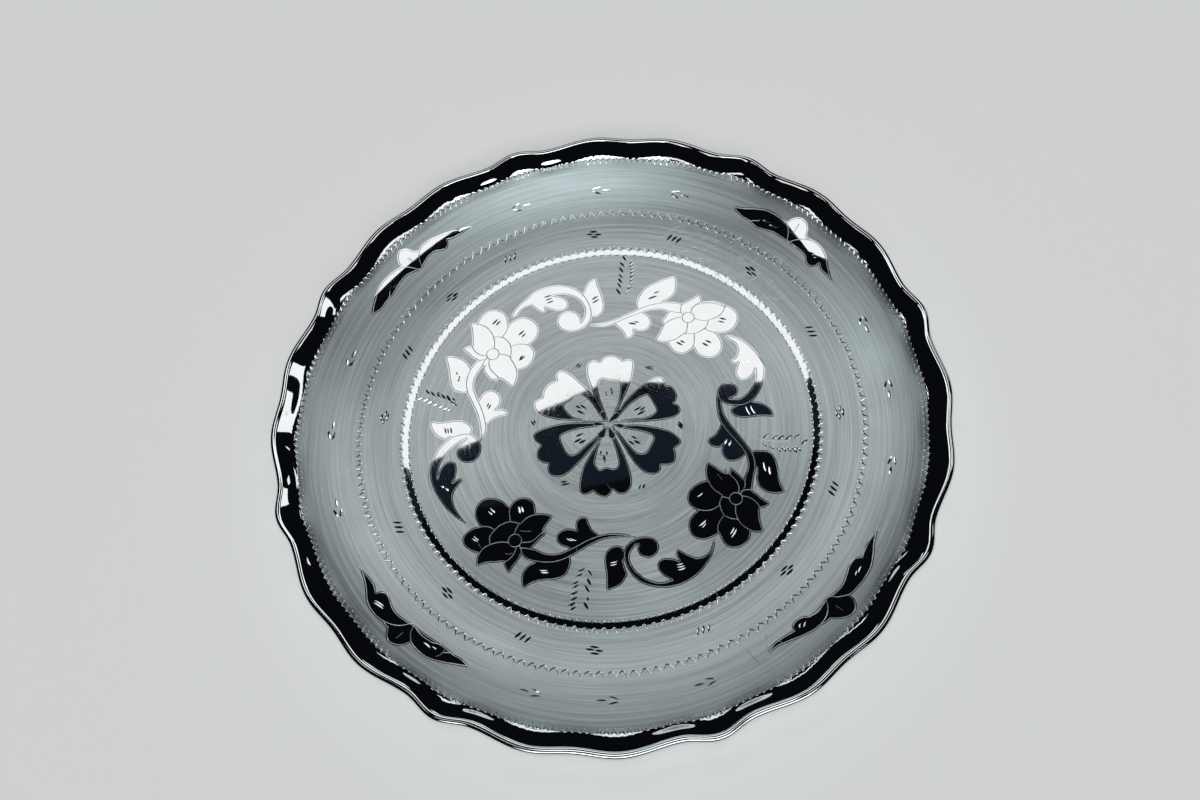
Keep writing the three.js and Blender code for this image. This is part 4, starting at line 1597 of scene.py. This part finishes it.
# %% The grid's faces and their normals
def grid_normals(part):
    return unit(np.cross(np.gradient(part, axis=0), np.roll(part, -1, 1) - np.roll(part, 1, 1)))


def each_way_round(upper, lower):
    return np.stack([upper, lower, lower[after], upper[after]], 1)


after = np.roll(np.arange(SEGMENTS), -1)
grid_index = len(top) + np.arange(len(grid) * SEGMENTS).reshape(len(grid), SEGMENTS)
index_rows = np.vstack([edge_row, grid_index])
outer_grid = np.concatenate([top[edge_row][None], np.array(outer_rows)])
inner_grid = np.array(inner_rows)
outer_normals = grid_normals(outer_grid)
outer_normals[0] = smooth_up[edge_row]
inner_normals = grid_normals(inner_grid)
lip_around = np.roll(inner_grid[0], -1, 0) - np.roll(inner_grid[0], 1, 0)
lip = unit(np.cross(inner_grid[0] - outer_grid[-1], lip_around))
above = [*outer_normals[:-1], lip, *inner_normals[:-1]]
below = [*outer_normals[1:], lip, *inner_normals[1:]]
quads = np.concatenate([each_way_round(*pair) for pair in zip(index_rows, index_rows[1:])])
quad_normals = np.concatenate([each_way_round(*pair) for pair in zip(above, below)])
quad_kinds = np.repeat([BURNISHED, SATIN], [len(outer_rows) * SEGMENTS, len(inner_rows) * SEGMENTS])
centre_index = np.full(SEGMENTS, len(top) + grid_index.size)
fan = np.stack([index_rows[-1], centre_index, index_rows[-1][after]], 1)
fan_normals = np.broadcast_to(-STRAIGHT_UP, (SEGMENTS, 3, 3))
print("quads:", len(quads), "and a fan of", len(fan), "triangles at the centre of the back")

# %% The plate's mesh
def build_shell(name):
    points = np.concatenate([top, grid.reshape(-1, 3), [[0.0, 0.0, 0.0]]])
    sizes = np.repeat([3, 4, 3], [len(triangles), len(quads), len(fan)])
    loops = np.concatenate([triangles.ravel(), quads.ravel(), fan.ravel()])
    kinds = np.concatenate([triangle_kind, quad_kinds, np.full(len(fan), SATIN)])
    normals = np.concatenate([part.reshape(-1, 3) for part in (top_normals, quad_normals, fan_normals)])
    mesh = bpy.data.meshes.new(name)
    mesh.vertices.add(len(points))
    mesh.vertices.foreach_set("co", points.ravel())
    mesh.loops.add(len(loops))
    mesh.loops.foreach_set("vertex_index", loops)
    mesh.polygons.add(len(sizes))
    mesh.polygons.foreach_set("loop_start", np.cumsum(np.concatenate([[0], sizes[:-1]])))
    mesh.update(calc_edges=True)
    for metal in metals:
        mesh.materials.append(metal)
    mesh.polygons.foreach_set("material_index", kinds)
    mesh.polygons.foreach_set("use_smooth", np.ones(len(sizes), bool))
    mesh.update()
    print("mesh mended:", mesh.validate(), "triangles:", int((sizes - 2).sum()))
    mesh.normals_split_custom_set(normals.tolist())
    return link(bpy.data.objects.new(name, mesh))


plate = build_shell("plate_engraved")

# %% [markdown]
# ## The wire in the edge
# The edge is rolled over a hard-drawn wire that follows every scallop. A bevelled curve could be this wire.
# Geometry Nodes sweep it here, from the closed line of the roll's centre, so that its thickness stays one
# input of the tree.

# %% The swept wire
WIRE_SIDES = 10
WIRE_LABELS = ["Geometry", "Radius", "Sides", "Material"]
wire_path = bpy.data.meshes.new("wire_path")
centre_line = roll_row(ROLL_CENTRE, ROLL_HEIGHT)
wire_path.from_pydata(centre_line.tolist(), [(i, (i + 1) % SEGMENTS) for i in range(SEGMENTS)], [])
wire_tree, wire_inputs, given = new_tree("wire_along_the_rim", WIRE_LABELS)
to_curve = add_node(wire_tree, "GeometryNodeMeshToCurve", {0: given["Geometry"]})
profile_inputs = {"Radius": given["Radius"], "Resolution": given["Sides"]}
profile = add_node(wire_tree, "GeometryNodeCurvePrimitiveCircle", profile_inputs)
sweep_inputs = {"Curve": to_curve.outputs[0], "Profile Curve": profile.outputs[0]}
sweep = add_node(wire_tree, "GeometryNodeCurveToMesh", sweep_inputs)
end_tree(wire_tree, sweep.outputs[0], given["Material"])

drawn_steel = bpy.data.materials.new("drawn_steel")
values = {"Radius": WIRE / 2 * MM, "Sides": WIRE_SIDES, "Material": drawn_steel}
wire_mesh = run_tree(wire_path, wire_tree, wire_inputs, values)
wire_mesh.shade_smooth()
wire = link(bpy.data.objects.new("rim_wire_drawn", wire_mesh))
print("wire:", len(wire_mesh.polygons), "faces")

# %% [markdown]
# ## The metals
# One sheet shows several finishes. The ground is satin: fine turning lines run round the plate, so a light
# is drawn out across them into soft spokes. The motifs, the ring and the rim are burnished almost to a
# mirror. A graver line keeps the faint tearing of the tool, and a bright cut is as smooth as the graver.
# Painted images would stretch and blur on a plate of this size. Noise that is read in the plate's own round
# coordinates stays sharp at any distance, and its lines follow the lathe.

# %% Helpers for materials
def start_material(material):
    material.use_nodes = True
    tree = material.node_tree
    tree.nodes.clear()
    shader = add_node(tree, "ShaderNodeBsdfPrincipled", {"Metallic": 1.0})
    add_node(tree, "ShaderNodeOutputMaterial", {0: shader.outputs[0]})
    return tree, shader


def noise(tree, place, scale=1.0, detail=2.0, rough=0.5):
    inputs = {"Vector": place, "Scale": scale, "Detail": detail, "Roughness": rough}
    return add_node(tree, "ShaderNodeTexNoise", inputs).outputs[0]


def spread_over(tree, value, start, end):
    inputs = {0: value, 1: start[0], 2: start[1], 3: end[0], 4: end[1]}
    return add_node(tree, "ShaderNodeMapRange", inputs).outputs[0]


def blend_colour(tree, share, low, high):
    inputs = {0: share, 6: (*low, 1), 7: (*high, 1)}
    return add_node(tree, "ShaderNodeMix", inputs, data_type="RGBA").outputs[2]


def weighed(tree, values, weights):
    total = None
    for value, weight in zip(values, weights):
        share = reckon(tree, "MULTIPLY", value, weight)
        total = share if total is None else reckon(tree, "ADD", total, share)
    return total


def paint(tree, shader, colour_share, colours, rough_share, limits, roughness):
    tree.links.new(blend_colour(tree, colour_share, *colours), shader.inputs["Base Color"])
    tree.links.new(spread_over(tree, rough_share, limits, roughness), shader.inputs["Roughness"])


def add_bump(tree, shader, height, strength, distance):
    inputs = {"Height": height, "Strength": strength, "Distance": distance}
    node = add_node(tree, "ShaderNodeBump", inputs)
    tree.links.new(node.outputs[0], shader.inputs["Normal"])


print("metals to finish:", ", ".join(METAL_NAMES), "and", drawn_steel.name)

# %% Coordinates that run round the plate
def own_place(tree):
    return add_node(tree, "ShaderNodeTexCoord").outputs["Object"]


def round_the_plate(tree, where):
    parts = add_node(tree, "ShaderNodeSeparateXYZ", {0: where})
    flat_place = vector_of(tree, parts.outputs[0], parts.outputs[1], 0.0)
    length_node = add_node(tree, "ShaderNodeVectorMath", {0: flat_place}, operation="LENGTH")
    outward = add_node(tree, "ShaderNodeVectorMath", {0: flat_place}, operation="NORMALIZE").outputs[0]
    outward_parts = add_node(tree, "ShaderNodeSeparateXYZ", {0: outward})
    return length_node.outputs["Value"], outward, outward_parts.outputs


def lathe_place(tree, reach_out, outward_parts, lines_per_metre, changes):
    across_lines = reckon(tree, "MULTIPLY", reach_out, float(lines_per_metre))
    x = reckon(tree, "MULTIPLY", outward_parts[0], float(changes))
    y = reckon(tree, "MULTIPLY", outward_parts[1], float(changes))
    return vector_of(tree, across_lines, x, y)


print("metals without a finish yet:", sum(not metal.use_nodes for metal in metals))

# %% [markdown]
# The satin ground. Fine lines half a millimetre apart come from the turning tool, broader faint rings
# from its feed. Each kind has a number of lines per metre and a number of changes on the way round. The
# highlight stretches across the lines: Anisotropic does that, turned by the Tangent.

# %% Satin
FINE_LINES = 1900, 3
FEED_LINES = 820, 0.8
BROAD_LINES = 260, 0.5
LINE_SHARES = 0.5, 0.42, 0.08
LINE_RANGE = 0.38, 0.62
UNEVEN_SHARES = 0.6, 0.4
UNEVEN_RANGE = 0.35, 0.65
SATIN_COLOURS = (0.57, 0.635, 0.64), (0.86, 0.93, 0.93)
SATIN_ROUGHNESS = 0.28, 0.40
SATIN_STRETCH = 0.5
LINE_STRENGTH = 0.8
LINE_HEIGHT = 0.00012
tree, shader = start_material(metals[SATIN])
where = own_place(tree)
reach_out, outward, outward_parts = round_the_plate(tree, where)
fine = noise(tree, lathe_place(tree, reach_out, outward_parts, *FINE_LINES), rough=0.6)
feed = noise(tree, lathe_place(tree, reach_out, outward_parts, *FEED_LINES), detail=1.0, rough=0.6)
broad = noise(tree, lathe_place(tree, reach_out, outward_parts, *BROAD_LINES), detail=1.0)
handled = noise(tree, where, scale=26.0, detail=3.0, rough=0.55)
lines = weighed(tree, (fine, feed, broad), LINE_SHARES)
tone = spread_over(tree, lines, LINE_RANGE, (0.0, 1.0))
uneven = weighed(tree, (lines, handled), UNEVEN_SHARES)
paint(tree, shader, tone, SATIN_COLOURS, uneven, UNEVEN_RANGE, SATIN_ROUGHNESS)
shader.inputs["Anisotropic"].default_value = SATIN_STRETCH
tree.links.new(outward, shader.inputs["Tangent"])
add_bump(tree, shader, lines, LINE_STRENGTH, LINE_HEIGHT)
print("satin lines are", round(1 / MM / FINE_LINES[0], 2), "mm apart")

# %% [markdown]
# The burnished metal. A perfect mirror would look like glass. The burnisher is rubbed to and fro by hand, so
# this mirror has faint waves, from a very weak bump, and a few soft streaks in its roughness.

# %% Burnished metal
STREAKS = 900, 9
STREAK_RANGE = 0.5, 0.85
BURNISHED_COLOURS = (0.80, 0.82, 0.83), (0.88, 0.90, 0.91)
BURNISHED_ROUGHNESS = 0.02, 0.07
WAVE_STRENGTH = 0.02
WAVE_HEIGHT = 0.0002
tree, shader = start_material(metals[BURNISHED])
where = own_place(tree)
reach_out, outward, outward_parts = round_the_plate(tree, where)
wave = noise(tree, where, scale=90.0, detail=1.0)
streak = noise(tree, lathe_place(tree, reach_out, outward_parts, *STREAKS), detail=3.0, rough=0.6)
paint(tree, shader, wave, BURNISHED_COLOURS, streak, STREAK_RANGE, BURNISHED_ROUGHNESS)
add_bump(tree, shader, wave, WAVE_STRENGTH, WAVE_HEIGHT)
print("burnished metal:", len(tree.nodes), "nodes, roughness", BURNISHED_ROUGHNESS)

# %% [markdown]
# Graver lines, bright cuts, scratches and wriggle cuts share a colour and differ in how smooth the tool
# left them. One loop makes all four, because only these numbers set them apart.

# %% The metal in the cuts
GRAIN_SCALE = 2200.0
GRAIN_RANGE = 0.3, 0.7
RED_SHARE = 0.97
CUT_METALS = [
    (GRAVED, (0.26, 0.36), (0.94, 1.0)),
    (BRIGHT, (0.05, 0.12), (0.80, 0.92)),
    (SCRATCH, (0.25, 0.38), (0.93, 0.99)),
    (WRIGGLE, (0.1, 0.2), (0.92, 0.99)),
]
for kind, roughness, greys in CUT_METALS:
    tree, shader = start_material(metals[kind])
    grain = noise(tree, own_place(tree), scale=GRAIN_SCALE, rough=0.6)
    colours = [(grey * RED_SHARE, grey, grey) for grey in greys]
    paint(tree, shader, grain, colours, grain, GRAIN_RANGE, roughness)
    print(METAL_NAMES[kind], "has a roughness of", roughness)

# %% [markdown]
# The wire is drawn through a die, which leaves it grey, bright and faintly scored along its length. The
# scores are noise again, drawn out along the wire.

# %% Drawn steel
SCORES = 6000, 3
SCORE_RANGE = 0.3, 0.7
STEEL_COLOURS = (0.50, 0.51, 0.52), (0.66, 0.67, 0.68)
STEEL_ROUGHNESS = 0.28, 0.42
tree, shader = start_material(drawn_steel)
reach_out, outward, outward_parts = round_the_plate(tree, own_place(tree))
score = noise(tree, lathe_place(tree, reach_out, outward_parts, *SCORES), rough=0.6)
paint(tree, shader, score, STEEL_COLOURS, score, SCORE_RANGE, STEEL_ROUGHNESS)
print("drawn steel:", len(tree.nodes), "nodes")

# %% [markdown]
# ## Which solid each piece stands for
# Both pieces ride on the plate's one body. Each replaces the plain solid of the same part, which is hidden,
# so that nobody sees the two at once.

# %% Bodies and solids
for piece, node_name, slot_name in ((plate, "plate_body", "plate_metal"), (wire, "rim_wire", "wire_steel")):
    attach(piece, "root")
    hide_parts(node_name)
    print(piece.name, "replaces", node_name)

# %% [markdown]
# ## Floor, lights and camera
# A mirror shows what stands round it, so a plate like this one is lit by what it reflects. One large soft
# panel behind the plate whitens the upper left motifs, and the rest of the room stays dark, which keeps
# the other motifs dark. Smaller panels stand where only the satin ground can see them.
# The table is plain and pale, and a low pale wall runs round it. The room above is pale for the camera
# alone: if the metal mirrored that too, the dark motifs would be gone.

# %% The table and the wall
STAGE_RADIUS = 3.0
STAGE_SIDES = 96
WALL_HEIGHT = 0.3
STAGE_COLOUR = (0.80, 0.80, 0.79, 1)
STAGE_GLOW = 0.45


def stage_material(name):
    material = bpy.data.materials.new(name)
    material.use_nodes = True
    tree = material.node_tree
    tree.nodes.clear()
    rays = add_node(tree, "ShaderNodeLightPath")
    seen = reckon(tree, "ADD", rays.outputs["Is Camera Ray"], rays.outputs["Is Glossy Ray"])
    seen = reckon(tree, "ADD", seen, rays.outputs["Is Transmission Ray"])
    seen = reckon(tree, "MINIMUM", seen, 1.0)
    glow = reckon(tree, "MULTIPLY", seen, STAGE_GLOW)
    diffuse = add_node(tree, "ShaderNodeBsdfDiffuse", {"Color": STAGE_COLOUR})
    shine = add_node(tree, "ShaderNodeEmission", {"Color": STAGE_COLOUR, "Strength": glow})
    both = add_node(tree, "ShaderNodeAddShader", {0: diffuse.outputs[0], 1: shine.outputs[0]})
    add_node(tree, "ShaderNodeOutputMaterial", {0: both.outputs[0]})
    return material


def stage_piece(name, points, faces):
    mesh = bpy.data.meshes.new(name)
    mesh.from_pydata(points.tolist(), [], faces)
    mesh.materials.append(stage_material(name + "_paint"))
    link(bpy.data.objects.new(name, mesh))


turn = np.linspace(0, 2 * np.pi, STAGE_SIDES, endpoint=False)
rim = np.stack([STAGE_RADIUS * np.cos(turn), STAGE_RADIUS * np.sin(turn), 0 * turn], 1)
corners = [(i, (i + 1) % STAGE_SIDES) for i in range(STAGE_SIDES)]
stage_piece("table_top", rim, [list(range(STAGE_SIDES))])
wall_faces = [(i, STAGE_SIDES + i, STAGE_SIDES + j, j) for i, j in corners]
stage_piece("low_wall", np.vstack([rim, rim + np.array([0, 0, WALL_HEIGHT])]), wall_faces)
print("table:", 2 * STAGE_RADIUS, "m across, wall:", WALL_HEIGHT, "m high")

# %% The room
DARK_ROOM = (0.0025, 0.003, 0.004, 1)
PALE_ROOM = (0.60, 0.60, 0.595, 1)
world = bpy.data.worlds.new("dark_room")
bpy.context.scene.world = world
world.use_nodes = True
room = world.node_tree
dark = room.nodes["Background"]
dark.inputs["Color"].default_value = DARK_ROOM
pale = add_node(room, "ShaderNodeBackground", {"Color": PALE_ROOM})
rays = add_node(room, "ShaderNodeLightPath")
mix_inputs = {0: rays.outputs["Is Camera Ray"], 1: dark.outputs[0], 2: pale.outputs[0]}
choice = add_node(room, "ShaderNodeMixShader", mix_inputs)
room.links.new(choice.outputs[0], room.nodes["World Output"].inputs["Surface"])
print("room:", len(room.nodes), "nodes")

# %% [markdown]
# A panel is placed by the directions in which the middle of the floor sees it: x and y are how far it
# lies to the right and to the back for each metre up. Its size is given in the same way, its brightness
# is what a mirror would show, and the last two values turn and colour it.
# An environment image could light the plate as well, but panels can be moved one by one until each motif
# mirrors the right thing.

# %% Panels
PANEL_HEIGHT = 8.0
WINDOW = 1.04
WHITE = (1, 1, 1)
COOL = (0.90, 0.985, 1.0)
BLUE = (0.35, 0.6, 1.0)
PANELS = [
    ("back_panel_left", (-0.1793, 0.6348), (0.3316, 0.30), WINDOW, 15.2),
    ("back_panel_right", (0.1798, 0.6461), (0.3122, 0.30), WINDOW, -12.4),
    ("back_panel_middle", (0.01, 0.675), (0.2, 0.27), WINDOW),
    ("high_back", (-0.1, 0.85), (0.66, 0.12), 0.6),
    ("blue_edge", (0.0, 0.47), (0.5, 0.08), 0.015, 0, BLUE),
    ("right_soft", (0.38, 0.51), (0.16, 0.38), 1.7, 0, COOL),
    ("left_soft", (-0.38, 0.51), (0.18, 0.38), 1.9, 0, COOL),
    ("overhead_soft", (0.0, -0.08), (0.36, 0.2), 2.4, 0, COOL),
    ("front_soft", (0.0, -1.2), (1.8, 0.7), 2.6, 0, COOL),
    ("low_back_soft", (0.21, 1.48), (0.74, 0.38), 0.95, 0, COOL),
    ("low_back_right", (-0.36, 1.6), (0.4, 0.2), 1.0, 0, COOL),
    ("left_rim", (0.88, 0.33), (0.36, 0.22), WINDOW),
    ("left_rim_low", (1.32, 0.84), (0.5, 0.2), WINDOW, 35),
    ("upper_left_bud", (0.354, 0.007), (0.34, 0.16), WINDOW, 33),
    ("upper_right_bud", (-0.43, 0.14), (0.10, 0.2), WINDOW, -12),
    ("far_rim", (-0.12, -0.09), (0.60, 0.10), WINDOW),
]


def panel(name, centre, size, brightness, turn=0.0, colour=WHITE):
    width = size[0] * PANEL_HEIGHT
    length = size[1] * PANEL_HEIGHT
    lamp = bpy.data.lights.new(name, "AREA")
    lamp.shape = "RECTANGLE"
    lamp.size = width
    lamp.size_y = length
    lamp.energy = brightness * math.pi * width * length
    lamp.color = colour
    thing = link(bpy.data.objects.new(name, lamp))
    thing.location = Vector((*centre, 1)) * PANEL_HEIGHT
    thing.rotation_euler = (0, 0, math.radians(turn))
    thing.visible_camera = False


for values in PANELS:
    panel(*values)
print("panels:", len(PANELS))

# %% [markdown]
# The camera stands where the photograph was taken from. Its lens, tilt and distance were worked out from
# the shape that the round ring and the four motifs take in the photograph. Its angles are in radians.

# %% The camera
CAMERA_LENS = 38.86
CAMERA_ELEVATION = 1.0981
CAMERA_ROLL = 0.19188
CAMERA_DISTANCE = 584.7
CAMERA_TARGET = Vector((-1.485, 13.52, 1.0))
SENSOR_WIDTH = 36
NEAREST_SEEN = 0.01
back = Vector((0, -math.cos(CAMERA_ELEVATION), math.sin(CAMERA_ELEVATION)))
up = Vector((0, math.sin(CAMERA_ELEVATION), math.cos(CAMERA_ELEVATION)))
right = Vector((1, 0, 0))
camera_x = right * math.cos(CAMERA_ROLL) - up * math.sin(CAMERA_ROLL)
camera_y = right * math.sin(CAMERA_ROLL) + up * math.cos(CAMERA_ROLL)
lens = bpy.data.cameras.new("camera")
lens.lens = CAMERA_LENS
lens.sensor_width = SENSOR_WIDTH
lens.clip_start = NEAREST_SEEN
camera = link(bpy.data.objects.new("camera", lens))
turned_to = Matrix((camera_x, camera_y, back)).transposed().to_4x4()
camera.matrix_world = Matrix.Translation((CAMERA_TARGET + back * CAMERA_DISTANCE) * MM) @ turned_to
bpy.context.scene.camera = camera
bpy.context.scene.view_settings.view_transform = "Standard"
print("the camera looks down at", round(math.degrees(CAMERA_ELEVATION), 1), "degrees")
